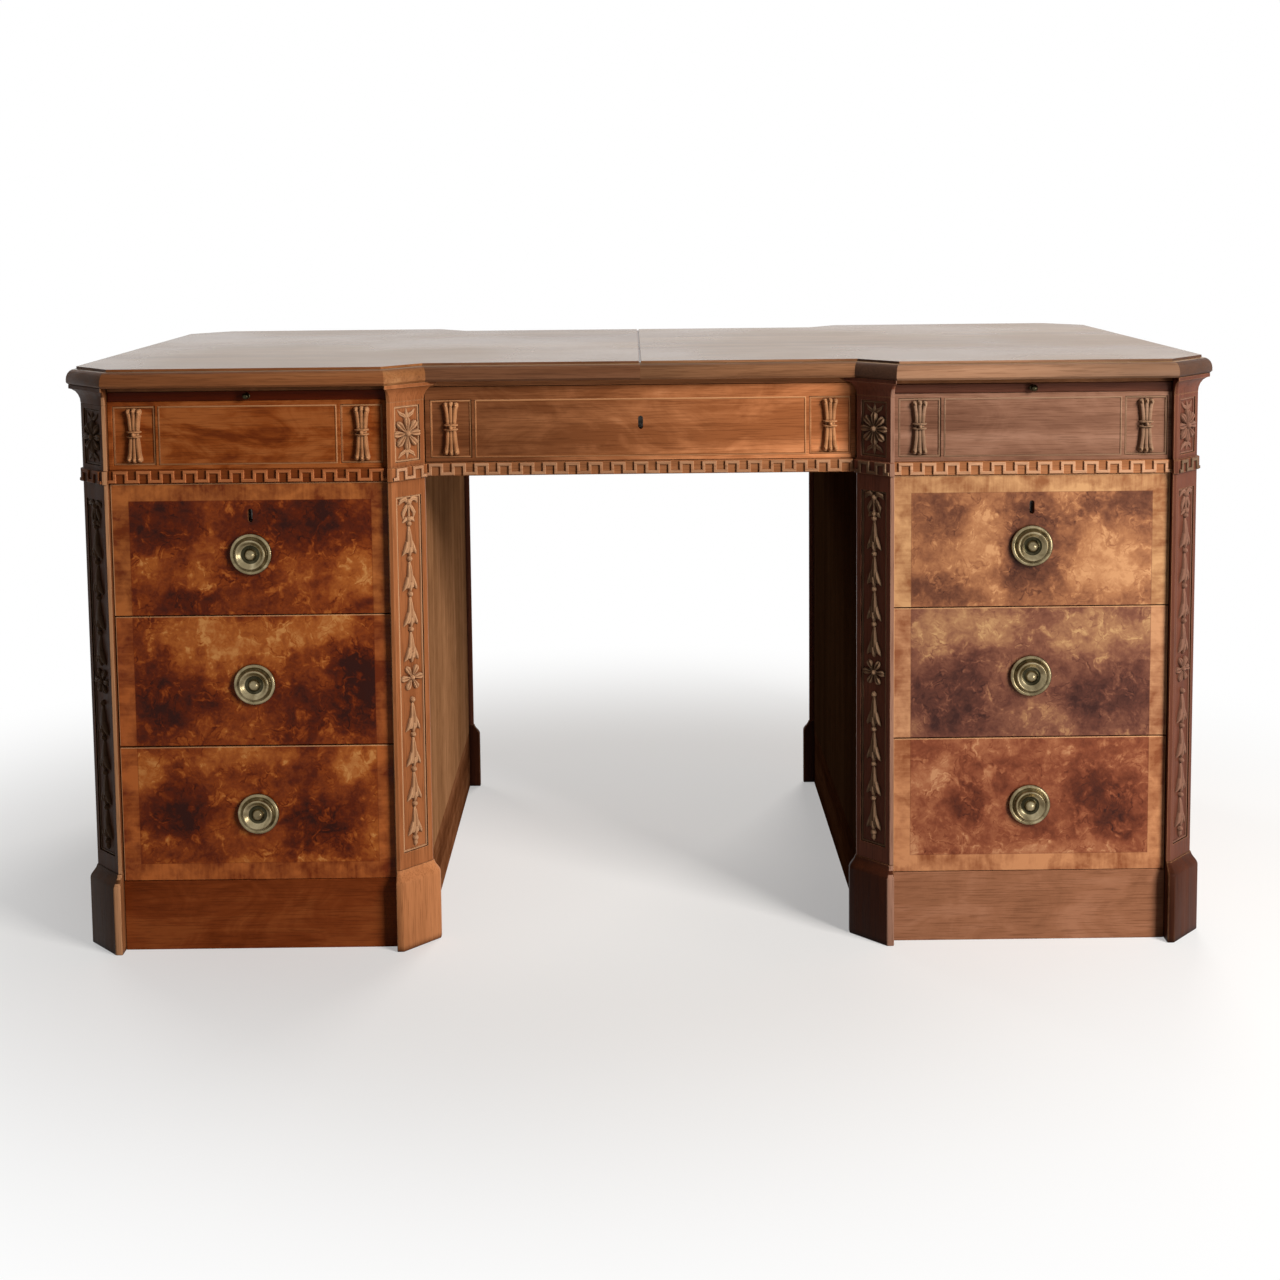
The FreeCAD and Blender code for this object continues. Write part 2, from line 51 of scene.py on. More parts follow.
class Finish:
    """A procedural finish, put together node by node. A value may be a socket or a constant."""

    def __init__(self, name):
        self.material = bpy.data.materials.new(name)
        self.material.use_nodes = True
        self.tree = self.material.node_tree
        self.tree.nodes.clear()
        self.shader = self.node("ShaderNodeBsdfPrincipled")
        self.sink = self.node("ShaderNodeOutputMaterial")
        self.tree.links.new(self.shader.outputs["BSDF"], self.sink.inputs["Surface"])
        self.place = self.node("ShaderNodeTexCoord").outputs["Object"]

    def node(self, kind, **settings):
        made = self.tree.nodes.new(kind)
        for key, value in settings.items():
            setattr(made, key, value)
        return made

    def feed(self, socket, value):
        if isinstance(value, bpy.types.NodeSocket):
            self.tree.links.new(value, socket)
        else:
            socket.default_value = value

    def set(self, name, value):
        self.feed(self.shader.inputs[name], value)

    def stretch(self, scale, shift=(0.0, 0.0, 0.0), place=None):
        mapping = self.node("ShaderNodeMapping")
        self.feed(mapping.inputs["Vector"], place or self.place)
        mapping.inputs["Location"].default_value = shift
        mapping.inputs["Scale"].default_value = scale
        return mapping.outputs["Vector"]

    def axis(self, name):
        parts = self.node("ShaderNodeSeparateXYZ")
        self.feed(parts.inputs["Vector"], self.place)
        return parts.outputs[name]

    def noise(self, place, scale, detail=3.0, rough=0.5, warp=0.0, output="Fac"):
        made = self.node("ShaderNodeTexNoise")
        self.feed(made.inputs["Vector"], place)
        made.inputs["Scale"].default_value = scale
        made.inputs["Detail"].default_value = detail
        made.inputs["Roughness"].default_value = rough
        made.inputs["Distortion"].default_value = warp
        return made.outputs[output]

    def maths(self, operation, *values):
        made = self.node("ShaderNodeMath", operation=operation)
        for socket, value in zip(made.inputs, values):
            self.feed(socket, value)
        return made.outputs["Value"]

    def blend(self, first, share, second):
        """Two figures in one, with this share of the first."""
        return self.maths("MULTIPLY_ADD", first, share, self.maths("MULTIPLY", second, 1.0 - share))

    def lift(self, tone, figure, amount):
        """Raises a tone where a figure is over its middle, and lowers it where it is under."""
        return self.maths("MULTIPLY_ADD", self.maths("SUBTRACT", figure, 0.5), amount, tone)

    def away(self, value, middle):
        """How far a value is from a middle."""
        return self.maths("ABSOLUTE", self.maths("SUBTRACT", value, middle))

    def span(self, value, low, high, to_low=0.0, to_high=1.0):
        made = self.node("ShaderNodeMapRange", interpolation_type="SMOOTHSTEP")
        for socket, part in zip(made.inputs, (value, low, high, to_low, to_high)):
            self.feed(socket, part)
        return made.outputs["Result"]

    def ramp(self, amount, positions, colours):
        made = self.node("ShaderNodeValToRGB")
        self.feed(made.inputs["Fac"], amount)
        elements = made.color_ramp.elements
        while len(elements) < len(positions):
            elements.new(0.5)
        for element, position, colour in zip(elements, positions, colours):
            element.position = position
            element.color = (*colour, 1.0)
        return made.outputs["Color"]

    def mix(self, amount, first, second, how="MIX"):
        made = self.node("ShaderNodeMix", data_type="RGBA", blend_type=how)
        self.feed(made.inputs[0], amount)
        for socket, colour in ((made.inputs[6], first), (made.inputs[7], second)):
            self.feed(socket, colour if isinstance(colour, bpy.types.NodeSocket) else (*colour, 1.0))
        return made.outputs[2]

    def darken(self, colour, share, mask, shade):
        """A colour with this share of a shade over it, where the mask is 0."""
        return self.mix(share, colour, self.mix(mask, shade, (1.0, 1.0, 1.0)), "MULTIPLY")

    def openness(self, reach):
        """How open the surface lies, from 0 in a hollow to 1."""
        hollow = self.node("ShaderNodeAmbientOcclusion", samples=6)
        hollow.inputs["Distance"].default_value = reach
        return hollow.outputs["AO"]

    def relief(self, height, strength, depth):
        bump = self.node("ShaderNodeBump")
        self.feed(bump.inputs["Height"], height)
        bump.inputs["Strength"].default_value = strength
        bump.inputs["Distance"].default_value = depth
        self.set("Normal", bump.outputs["Normal"])


grain_squeeze = {"x": (0.055, 1.0, 1.0), "y": (1.0, 0.055, 1.0), "z": (1.0, 1.0, 0.055)}
pore_squeeze = {"x": (0.03, 1.0, 1.0), "y": (1.0, 0.03, 1.0), "z": (1.0, 1.0, 0.03)}
grain_stops = (0.36, 0.50, 0.64)
pore_scale = 620.0
# Carved finishes: painted shade in the hollows, and on edges and ridges a lighter colour, partly real wear
# and partly painted highlight.
hollow_reach = 0.010
painted_hollow_shade = (0.16, 0.11, 0.09)
highlighted_radius = 0.0016
wear_and_highlight_walnut = (0.56, 0.285, 0.135)
satin = 0.07


def walnut(name, along, tones, seed, carved=None, shine=satin, fade=None, cloudy=0.0, wear_and_highlight=wear_and_highlight_walnut):
    """Polished walnut in a dark, a middle and a light tone, with the grain along one axis.

    carved is "edges" for joinery and "relief" for carving: painted shade in its hollows, and outside
    them a lighter colour that is partly real wear and partly painted highlight. fade is (from x, to x,
    brightness there, brightness here): painted light and shade along the desk. Its x is the distance
    from the desk's middle, or x itself where the first is below 0. cloudy is how far the figure breaks
    up into clouds.
    """
    finish = Finish(name)
    grain = finish.stretch(grain_squeeze[along], (seed, seed * 0.7, seed * 1.3))
    broad = finish.noise(grain, 13.0, 3.0, 0.5, 1.1)
    streaks = finish.noise(grain, 85.0, 5.0, 0.62, 0.5)
    tone = finish.blend(broad, 0.62, streaks)
    if cloudy:
        clouds = finish.noise(finish.stretch((0.6, 1.0, 1.0), (seed, seed, seed)), 16.0, 5.0, 0.62, 1.6)
        tone = finish.lift(tone, clouds, cloudy)
    colour = finish.ramp(tone, grain_stops, tones)
    pores = finish.span(finish.noise(finish.stretch(pore_squeeze[along]), pore_scale, 2.0, 0.6), 0.40, 0.47)
    colour = finish.darken(colour, 0.40, pores, (0.42, 0.36, 0.32))
    if carved:
        # Painted shade in the hollows.
        depth = finish.span(finish.openness(hollow_reach), 0.35, 0.97)
        colour = finish.darken(colour, 1.0, depth, painted_hollow_shade)
        surface = finish.node("ShaderNodeNewGeometry")
        # Edges and ridges lighter: partly real wear, partly painted highlight.
        if carved == "relief":
            highlighted = finish.span(surface.outputs["Pointiness"], 0.505, 0.57)
        else:
            rounded = finish.node("ShaderNodeBevel", samples=4)
            rounded.inputs["Radius"].default_value = highlighted_radius
            bend = finish.node("ShaderNodeVectorMath", operation="DOT_PRODUCT")
            finish.feed(bend.inputs[0], rounded.outputs["Normal"])
            finish.feed(bend.inputs[1], surface.outputs["True Normal"])
            highlighted = finish.maths("MULTIPLY", finish.span(bend.outputs["Value"], 0.985, 0.90), depth)
        colour = finish.mix(finish.maths("MULTIPLY", highlighted, 0.6), colour, wear_and_highlight)
    # Painted light and shade along the desk: the brightness changes with x.
    if fade:
        along_desk = finish.axis("X")
        if fade[0] >= 0.0:
            along_desk = finish.maths("ABSOLUTE", along_desk)
        aged = finish.node("ShaderNodeHueSaturation")
        finish.feed(aged.inputs["Color"], colour)
        finish.feed(aged.inputs["Value"], finish.span(along_desk, *fade))
        colour = aged.outputs["Color"]
    finish.set("Base Color", colour)
    finish.set("Roughness", finish.span(streaks, 0.3, 0.7, 0.36, 0.52))
    finish.set("Specular IOR Level", shine)
    finish.relief(finish.blend(pores, 0.7, streaks), 0.22, 0.0004)
    return finish.material


def by_grain(name, tones, seed, cloudy=0.0):
    """The same walnut cut with its grain along X, Y and Z, for boards that run each way."""
    return [walnut(name + "_" + axis, axis, tones, seed, cloudy=cloudy) for axis in "xyz"]


front_left_x = -0.3
front_left_y = -0.2


def finish_by_board(shape, by_side):
    """Gives each loose board the finish that runs along it. A second three finishes, where there are
    any, are for the front of the left pedestal: a darker, redder copy, painted light."""
    waiting = set(shape.faces)
    while waiting:
        board = [waiting.pop()]
        for face in board:
            for edge in face.edges:
                board.extend(near for near in edge.link_faces if near in waiting)
                waiting.difference_update(edge.link_faces)
        corners = [vert.co for face in board for vert in face.verts]
        spans = [max(c[i] for c in corners) - min(c[i] for c in corners) for i in range(3)]
        middle = sum(corners, Vector()) / len(corners)
        front_left = by_side and middle.x < front_left_x and middle.y < front_left_y
        for face in board:
            face.material_index = spans.index(max(spans)) + 3 * front_left


def settle(shape, name, body, finishes, nodes=(), part=None):
    """Makes a finished piece of a shape. part gives the number of a face's finish. Without it, three
    or six finishes go by the run of each board."""
    if part:
        for face in shape.faces:
            face.material_index = part(face)
    elif len(finishes) % 3 == 0:
        finish_by_board(shape, len(finishes) == 6)
    mesh = bpy.data.meshes.new(name)
    shape.to_mesh(mesh)
    shape.free()
    for finish in finishes:
        mesh.materials.append(finish)
    piece = bpy.data.objects.new(name, mesh)
    bpy.context.scene.collection.objects.link(piece)
    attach(piece, body)
    if nodes:
        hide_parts(*nodes)


curve_step = math.radians(28)
flat_step = math.radians(1.5)
same_plane = math.radians(0.4)
board_arris = 0.0007
block_arris = 0.0012


def dressed(node, arris):
    """A node's solids with their arrises eased as if by a plane and glass paper."""
    shape = bmesh.new()
    shape.from_mesh(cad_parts[node].data)
    bmesh.ops.remove_doubles(shape, verts=shape.verts, dist=1e-6)
    bmesh.ops.dissolve_limit(shape, angle_limit=same_plane, verts=shape.verts, edges=shape.edges)
    for face in shape.faces:
        steps = [edge.calc_face_angle(0.0) for edge in face.edges]
        face.smooth = any(flat_step < step < curve_step for step in steps)
    sharp = [edge for edge in shape.edges if edge.is_manifold and edge.calc_face_angle() > curve_step]
    eased = bmesh.ops.bevel(
        shape, geom=sharp, offset=arris, segments=2, profile=0.5, affect="EDGES", clamp_overlap=True
    )
    for face in eased["faces"]:
        face.smooth = True
    return shape


def finish_node(node, body, finishes, arris=board_arris, part=None):
    """Makes the finished piece that stands for a node."""
    settle(dressed(node, arris), node + "_finished", body, finishes, (node,), part)


post_seed = 1.7
desk_corner = (0.690, 0.705)
# Lit and shaded copies: the right blocks' near-black tones are painted shade, and block_painted_light darkens
# the outer ends with painted shade, strongly at the left.
block_tones = {
    "left": ((0.360, 0.135, 0.050), (0.470, 0.185, 0.073), (0.570, 0.240, 0.100)),
    "right": ((0.038, 0.010, 0.004), (0.057, 0.015, 0.006), (0.080, 0.022, 0.009)),
}
block_painted_light = {"left": (*desk_corner, 1.0, 0.16), "right": (*desk_corner, 1.0, 0.95)}
# Lighter finishes for the front faces at the left corner of each pedestal: painted light.
painted_light_strip_tones = {
    "left": ((0.46, 0.22, 0.105), (0.56, 0.275, 0.137), (0.64, 0.33, 0.17)),
    "right": ((0.24, 0.12, 0.08), (0.30, 0.155, 0.104), (0.36, 0.19, 0.13)),
}
blocks, painted_light_strips = [], []
for side in sides:
    block = walnut(side + "_block_walnut", "z", block_tones[side], post_seed, "edges", fade=block_painted_light[side])
    blocks.append(block)
    painted_light_strips.append(walnut(side + "_strip_walnut", "z", painted_light_strip_tones[side], post_seed))
stack_middle = 0.515
to_front = -0.8


def upright_part(face):
    """The first finish of an upright is the lit one, for the front left of the desk, and the second a copy
    in painted shade, for the right and the rear. Two more are painted light on the front faces at the
    left corner of each pedestal."""
    spot = face.calc_center_median()
    right, rear = spot.x > 0.0, spot.y > 0.0
    left_corner = spot.x < (stack_middle if right else -stack_middle)
    highlighted = left_corner and not rear and face.normal.y < to_front
    return int(right or rear) + 2 * highlighted


for side in sides:
    node = side + "_plinth_blocks"
    finish_node(node, "carcass", blocks + painted_light_strips, block_arris, upright_part)


# Plinth boards
# Plain walnut boards between the blocks on all four sides of each pedestal, set back from the
# blocks' faces and tongued into them, with the grain lengthwise.
# The left boards' darker, redder tones against the right's are painted light.
plinth_tones = {
    "left": ((0.150, 0.028, 0.005), (0.205, 0.042, 0.009), (0.270, 0.066, 0.016)),
    "right": ((0.245, 0.100, 0.050), (0.290, 0.121, 0.062), (0.345, 0.152, 0.083)),
}
plinth_walnut = {
    "left": by_grain("left_plinth_walnut", plinth_tones["left"], 4.1, 0.8),
    "right": by_grain("right_plinth_walnut", plinth_tones["right"], 6.4, 0.8),
}
plinth_sides = ((0.120, 0.040, 0.015), (0.190, 0.068, 0.027), (0.270, 0.108, 0.047))
# The boards that face the kneehole darken towards the right: painted shade.
plinth_inside_painted_shade = (-0.20, 0.20, 0.8, 0.25)
outer_plinth = walnut("outer_plinth_walnut", "y", plinth_sides, 3.1, cloudy=0.5)
rear_plinth = walnut("rear_plinth_walnut", "x", plinth_sides, 3.6, cloudy=0.5)
inner_plinth = walnut(
    "inner_plinth_walnut", "y", plinth_sides, 3.9, shine=0.0, fade=plinth_inside_painted_shade, cloudy=0.5
)
kneehole_edge = 0.32
plinth_end = 0.3


def plinth_part(face):
    """The finish of a plinth board: front, outer side, rear or kneehole side."""
    spot = face.calc_center_median()
    if abs(spot.y) > plinth_end:
        return 0 if spot.y < 0.0 else 2
    return 3 if abs(spot.x) < kneehole_edge else 1


for side in sides:
    boards = [plinth_walnut[side][0], outer_plinth, rear_plinth, inner_plinth]
    finish_node(side + "_plinth_boards", "carcass", boards, part=plinth_part)


# Pedestal posts and their carving
# Canted walnut posts at the corners of the pedestals. Each has a tall sunk panel with a bead round
# it, and carved in the panel a ribbon, a knot and two chains of bell husks with a rosette between.
# Lit and shaded copies of the post walnut: post_tones are lit, for the front left, and shaded_tones painted
# shade for the right and the rear. end_painted_shade and shaded_copy_painted_light darken the outer ends with
# painted shade.
post_tones = ((0.235, 0.076, 0.025), (0.330, 0.115, 0.041), (0.420, 0.158, 0.061))
shaded_tones = ((0.112, 0.036, 0.020), (0.166, 0.055, 0.032), (0.220, 0.076, 0.046))
end_painted_shade = (*desk_corner, 1.0, 0.28)
shaded_copy_painted_light = (*desk_corner, 1.08, 0.66)
posts = [
    walnut("post_walnut", "z", post_tones, post_seed, "edges", fade=end_painted_shade),
    walnut("shaded_post_walnut", "z", shaded_tones, post_seed, "edges", fade=shaded_copy_painted_light),
]
for side in sides:
    finish_node(side + "_pedestal_posts", "carcass", posts + painted_light_strips, part=upright_part)

post_cant = 0.039
panel_depth = 0.0025
panel_half = 0.04115 / 2
panel_low = 0.130
panel_high = 0.611
bead_size = 0.0016
carving_bed = 0.0004
vein_reach = 0.42


def post_faces(node, sunk):
    """The placings of the canted faces of a node's four posts, at z 0."""
    low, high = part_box(node)
    middle = (low.x + high.x) / 2
    faces = []
    for x in (low.x + post_cant / 2, high.x - post_cant / 2):
        for y in (low.y + post_cant / 2, high.y - post_cant / 2):
            out = Vector((1.0 if x > middle else -1.0, 1.0 if y > 0 else -1.0, 0.0)).normalized()
            spot = Vector((x, y, 0.0)) - out * sunk
            faces.append(Matrix.Translation(spot) @ Matrix.Rotation(math.atan2(out.x, -out.y), 4, "Z"))
    return faces


def carved_run(shape, spine, widths, rises, groove=0.0, facets=8):
    """A leaf, reed or bead of half-round section along a line, flat at the back, standing to -Y."""
    rings = []
    for i, (x, z) in enumerate(spine):
        before = spine[max(i - 1, 0)]
        after = spine[min(i + 1, len(spine) - 1)]
        run = Vector((after[0] - before[0], after[1] - before[1])).normalized()
        ring = []
        for j in range(facets + 1):
            turn = math.pi * j / facets
            reach = widths[i] * math.cos(turn)
            vein = 1.0 - groove * math.exp(-((turn - math.pi / 2) / vein_reach) ** 2)
            rise = rises[i] * math.sin(turn) * vein
            ring.append(shape.verts.new((x - run.y * reach, carving_bed - rise, z + run.x * reach)))
        rings.append(ring)
    for a, b in zip(rings, rings[1:]):
        for j in range(facets):
            shape.faces.new((a[j], a[j + 1], b[j + 1], b[j]))
        shape.faces.new((a[facets], a[0], b[0], b[facets]))
    shape.faces.new(rings[0])
    shape.faces.new(rings[-1][::-1])


def carved_boss(shape, x, z, radius, rise, facets=14, rounds=5):
    """A domed bead or boss standing to -Y."""
    swings = [math.tau * j / facets for j in range(facets)]
    rings = []
    for i in range(rounds):
        turn = math.pi / 2 * i / rounds
        reach = radius * math.cos(turn)
        y = carving_bed - rise * math.sin(turn)
        spots = [(x + reach * math.cos(swing), y, z + reach * math.sin(swing)) for swing in swings]
        rings.append([shape.verts.new(spot) for spot in spots])
    crown = shape.verts.new((x, carving_bed - rise, z))
    for a, b in zip(rings, rings[1:]):
        for j in range(facets):
            shape.faces.new((a[j], a[(j + 1) % facets], b[(j + 1) % facets], b[j]))
    for j in range(facets):
        shape.faces.new((rings[-1][j], rings[-1][(j + 1) % facets], crown))
    shape.faces.new(rings[0][::-1])


def bead_frame(shape, left, right, low, high, size, rise=1.0):
    """A half-round bead, mitred round a rectangle, with its outer edge on the rectangle."""
    facets = 6
    loops = []
    for j in range(facets + 1):
        turn = math.pi * j / facets
        inset = size * (1.0 - math.cos(turn))
        y = carving_bed - size * rise * math.sin(turn)
        x0, x1, z0, z1 = left + inset, right - inset, low + inset, high - inset
        loops.append([shape.verts.new((x, y, z)) for x, z in ((x0, z0), (x1, z0), (x1, z1), (x0, z1))])
    for a, b in zip(loops, loops[1:] + loops[:1]):
        for k in range(4):
            shape.faces.new((a[k], a[(k + 1) % 4], b[(k + 1) % 4], b[k]))


crisp_edge = math.radians(52)


def as_carving(shape):
    """Carving cleaned up: faces outwards and rounded, with the frames' mitres left crisp."""
    bmesh.ops.recalc_face_normals(shape, faces=shape.faces)
    for face in shape.faces:
        face.smooth = True
    for edge in shape.edges:
        edge.smooth = edge.calc_face_angle(0.0) < crisp_edge
    return shape


def loose_object(shape, name):
    """A shape as an object for the repeating trees to copy."""
    mesh = bpy.data.meshes.new(name)
    as_carving(shape).to_mesh(mesh)
    shape.free()
    return bpy.data.objects.new(name, mesh)


def add_shape(shape, part, placing):
    """Puts a copy of one shape into another."""
    mesh = bpy.data.meshes.new("part")
    part.to_mesh(mesh)
    mesh.transform(placing)
    shape.from_mesh(mesh)
    bpy.data.meshes.remove(mesh)


def wire(tree, *joins):
    """Links nodes. Each join is (node, output, node, input)."""
    for source, output, target, entry in joins:
        tree.links.new(source.outputs[output], target.inputs[entry])


def repeat_tree(name, spread, kind):
    """A tree that copies an object over points, still without the points, and its two ends."""
    tree = bpy.data.node_groups.new(name, "GeometryNodeTree")
    tree.interface.new_socket("Geometry", in_out="OUTPUT", socket_type="NodeSocketGeometry")
    inputs = {"Motif": "NodeSocketObject", "Count": "NodeSocketInt", spread: kind}
    inputs["Finish"] = "NodeSocketMaterial"
    for label, socket_type in inputs.items():
        tree.interface.new_socket(label, in_out="INPUT", socket_type=socket_type)
    start = tree.nodes.new("NodeGroupInput")
    motif = tree.nodes.new("GeometryNodeObjectInfo")
    motif.inputs["As Instance"].default_value = True
    copies = tree.nodes.new("GeometryNodeInstanceOnPoints")
    real = tree.nodes.new("GeometryNodeRealizeInstances")
    joined = tree.nodes.new("GeometryNodeMergeByDistance")
    joined.inputs["Distance"].default_value = 0.00001
    coloured = tree.nodes.new("GeometryNodeSetMaterial")
    end = tree.nodes.new("NodeGroupOutput")
    wire(
        tree,
        (start, "Motif", motif, "Object"),
        (motif, "Geometry", copies, "Instance"),
        (copies, "Instances", real, "Geometry"),
        (real, "Geometry", joined, "Geometry"),
        (joined, "Geometry", coloured, "Geometry"),
        (start, "Finish", coloured, "Material"),
        (coloured, "Geometry", end, "Geometry"),
    )
    return tree, start, copies


def grown(tree, motif, count, finish, **spread):
    """The shape that a repeating tree makes of these inputs."""
    values = {"Motif": motif, "Count": count, "Finish": finish, **spread}
    carrier = bpy.data.objects.new(tree.name, bpy.data.meshes.new(tree.name))
    bpy.context.scene.collection.objects.link(carrier)
    modifier = carrier.modifiers.new("repeat", "NODES")
    modifier.node_group = tree
    for socket in tree.interface.items_tree:
        if socket.in_out == "INPUT":
            modifier[socket.identifier] = values[socket.name]
    ready = carrier.evaluated_get(bpy.context.evaluated_depsgraph_get())
    mesh = bpy.data.meshes.new_from_object(ready)
    shape = bmesh.new()
    shape.from_mesh(mesh)
    carrier.modifiers.clear()
    bpy.data.objects.remove(carrier)
    bpy.data.meshes.remove(mesh)
    return shape


row_tree, row_start, row_copies = repeat_tree("carved_row", "Pitch", "NodeSocketVector")
row_line = row_tree.nodes.new("GeometryNodeMeshLine")
wire(
    row_tree,
    (row_start, "Count", row_line, "Count"),
    (row_start, "Pitch", row_line, "Offset"),
    (row_line, "Mesh", row_copies, "Points"),
)

ring_tree, ring_start, ring_copies = repeat_tree("carved_ring", "Radius", "NodeSocketFloat")
ring_circle = ring_tree.nodes.new("GeometryNodeMeshCircle")
ring_upright = ring_tree.nodes.new("GeometryNodeTransform")
ring_upright.inputs["Rotation"].default_value = (math.pi / 2, 0.0, 0.0)
ring_index = ring_tree.nodes.new("GeometryNodeInputIndex")
ring_step = ring_tree.nodes.new("ShaderNodeMath")
ring_step.operation = "DIVIDE"
ring_step.inputs[0].default_value = -math.tau
ring_turn = ring_tree.nodes.new("ShaderNodeMath")
ring_turn.operation = "MULTIPLY"
ring_spin = ring_tree.nodes.new("ShaderNodeCombineXYZ")
wire(
    ring_tree,
    (ring_start, "Count", ring_circle, "Vertices"),
    (ring_start, "Radius", ring_circle, "Radius"),
    (ring_circle, "Mesh", ring_upright, "Geometry"),
    (ring_upright, "Geometry", ring_copies, "Points"),
    (ring_start, "Count", ring_step, 1),
    (ring_index, "Index", ring_turn, 0),
    (ring_step, "Value", ring_turn, 1),
    (ring_turn, "Value", ring_spin, "Y"),
    (ring_spin, "Vector", ring_copies, "Rotation"),
)

carving_seed = 2.3
# Lit and shaded copies of the carving walnut: carving_tones are lit, shaded_carving_tones painted shade for
# the left's rear and the right's inner posts, and outer_carving_tones a darker painted shade for the right's
# outer posts. Each has its own lighter colour for ridges, partly real wear and partly painted highlight.
carving_tones = ((0.265, 0.121, 0.055), (0.425, 0.215, 0.110), (0.565, 0.318, 0.182))
bright_wear_and_highlight = (0.62, 0.35, 0.19)
shaded_carving_tones = ((0.110, 0.056, 0.028), (0.175, 0.098, 0.054), (0.240, 0.150, 0.092))
shaded_wear_and_highlight = (0.33, 0.205, 0.125)
outer_carving_tones = ((0.078, 0.030, 0.018), (0.124, 0.052, 0.033), (0.172, 0.080, 0.053))
outer_wear_and_highlight = (0.250, 0.128, 0.086)
lit_carving = walnut(
    "carving_walnut", "z", carving_tones, carving_seed, "relief", fade=end_painted_shade, wear_and_highlight=bright_wear_and_highlight
)
shaded_carving = walnut(
    "shaded_carving_walnut", "z", shaded_carving_tones, carving_seed, "relief", fade=shaded_copy_painted_light,
    wear_and_highlight=shaded_wear_and_highlight,
)
outer_carving = walnut(
    "outer_carving_walnut", "z", outer_carving_tones, carving_seed, "relief", wear_and_highlight=outer_wear_and_highlight
)
carving_walnut = {"left": [lit_carving, shaded_carving], "right": [shaded_carving, outer_carving]}


def carving_part(face):
    """The second finish of a side's carving is for the left's rear posts and the right's outer posts, both
    painted shade.
    """
    spot = face.calc_center_median()
    return int(spot.x > stack_middle or (spot.x < 0.0 and spot.y > 0.0))


def rosette(petal_length, petal_width, petals, rise):
    """A carved rosette: veined petals round a domed boss."""
    petal = bmesh.new()
    spine = [(petal_length * t, 0.0) for t in (0.0, 0.25, 0.5, 0.75, 0.92, 1.0)]
    widths = [petal_width * t for t in (0.25, 0.62, 0.92, 1.0, 0.66, 0.10)]
    rises = [rise * t for t in (0.70, 0.80, 0.95, 1.0, 0.72, 0.20)]
    carved_run(petal, spine, widths, rises, 0.42, 10)
    motif = loose_object(petal, "petal")
    shape = grown(ring_tree, motif, petals, lit_carving, Radius=petal_length * 0.22)
    carved_boss(shape, 0.0, 0.0, petal_length * 0.26, rise * 1.15)
    return shape


husk_pitch = 0.0475
chain_husks = 4
chain_top = 0.569
chain_rosette = 0.366
lower_chain_top = 0.331
last_bead = 0.1465

husk = bmesh.new()
carved_run(
    husk,
    [(0.0, z) for z in (0.001, -0.006, -0.014, -0.022, -0.029, -0.034)],
    (0.0018, 0.0032, 0.0044, 0.0056, 0.0066, 0.0072),
    (0.0026, 0.0046, 0.0058, 0.0064, 0.0060, 0.0038),
    0.28,
    10,
)
carved_run(
    husk,
    [(0.0, z) for z in (-0.026, -0.033, -0.038, -0.0405)],
    (0.0026, 0.0030, 0.0022, 0.0005),
    (0.0058, 0.0058, 0.0040, 0.0012),
)
husk_lip = ((0.0040, -0.019), (0.0062, -0.027), (0.0090, -0.0335), (0.0118, -0.0375))
for hand in (-1, 1):
    carved_run(
        husk,
        [(hand * x, z) for x, z in husk_lip],
        (0.0016, 0.0028, 0.0026, 0.0005),
        (0.0044, 0.0054, 0.0044, 0.0012),
    )
carved_boss(husk, 0.0, 0.0050, 0.0040, 0.0060)
husk_motif = loose_object(husk, "bell_husk")

chain = bmesh.new()
for start in (chain_top, lower_chain_top):
    links = grown(row_tree, husk_motif, chain_husks, lit_carving, Pitch=(0.0, 0.0, -husk_pitch))
    add_shape(chain, links, Matrix.Translation((0.0, 0.0, start)))
    links.free()
carved_boss(chain, 0.0, last_bead, 0.0044, 0.0060)
last_drop = [(0.0, z) for z in (0.145, 0.139, 0.1345)]
carved_run(chain, last_drop, (0.0026, 0.0034, 0.0006), (0.0040, 0.0046, 0.0012))
small_rosette = rosette(0.0150, 0.0044, 6, 0.0056)
add_shape(chain, small_rosette, Matrix.Translation((0.0, 0.0, chain_rosette)))
small_rosette.free()
ribbon_runs = (
    (
        ((0.001, 0.602), (0.006, 0.6075), (0.0125, 0.6055), (0.0150, 0.600)),
        (0.0020, 0.0038, 0.0034, 0.0008),
    ),
    (
        ((0.001, 0.601), (0.0048, 0.5950), (0.0090, 0.5880), (0.0085, 0.5805)),
        (0.0016, 0.0030, 0.0030, 0.0008),
    ),
    (((0.001, 0.581), (0.0058, 0.5800), (0.0100, 0.5755)), (0.0018, 0.0034, 0.0008)),
)
for hand in (-1, 1):
    for spine, widths in ribbon_runs:
        carved_run(chain, [(hand * x, z) for x, z in spine], widths, [1.4 * w for w in widths], 0.3)
carved_run(chain, [(0.0, 0.600), (0.0, 0.580)], (0.0018, 0.0018), (0.0034, 0.0034))
carved_boss(chain, 0.0, 0.6025, 0.0048, 0.0062)
carved_boss(chain, 0.0, 0.5800, 0.0042, 0.0060)
bead_frame(chain, -panel_half, panel_half, panel_low, panel_high, bead_size)
as_carving(chain)
for side in sides:
    carving = bmesh.new()
    for placing in post_faces(side + "_pedestal_posts", panel_depth):
        add_shape(carving, chain, placing)
    name = side + "_pedestal_carving"
    settle(carving, name, "carcass", carving_walnut[side], part=carving_part)
chain.free()


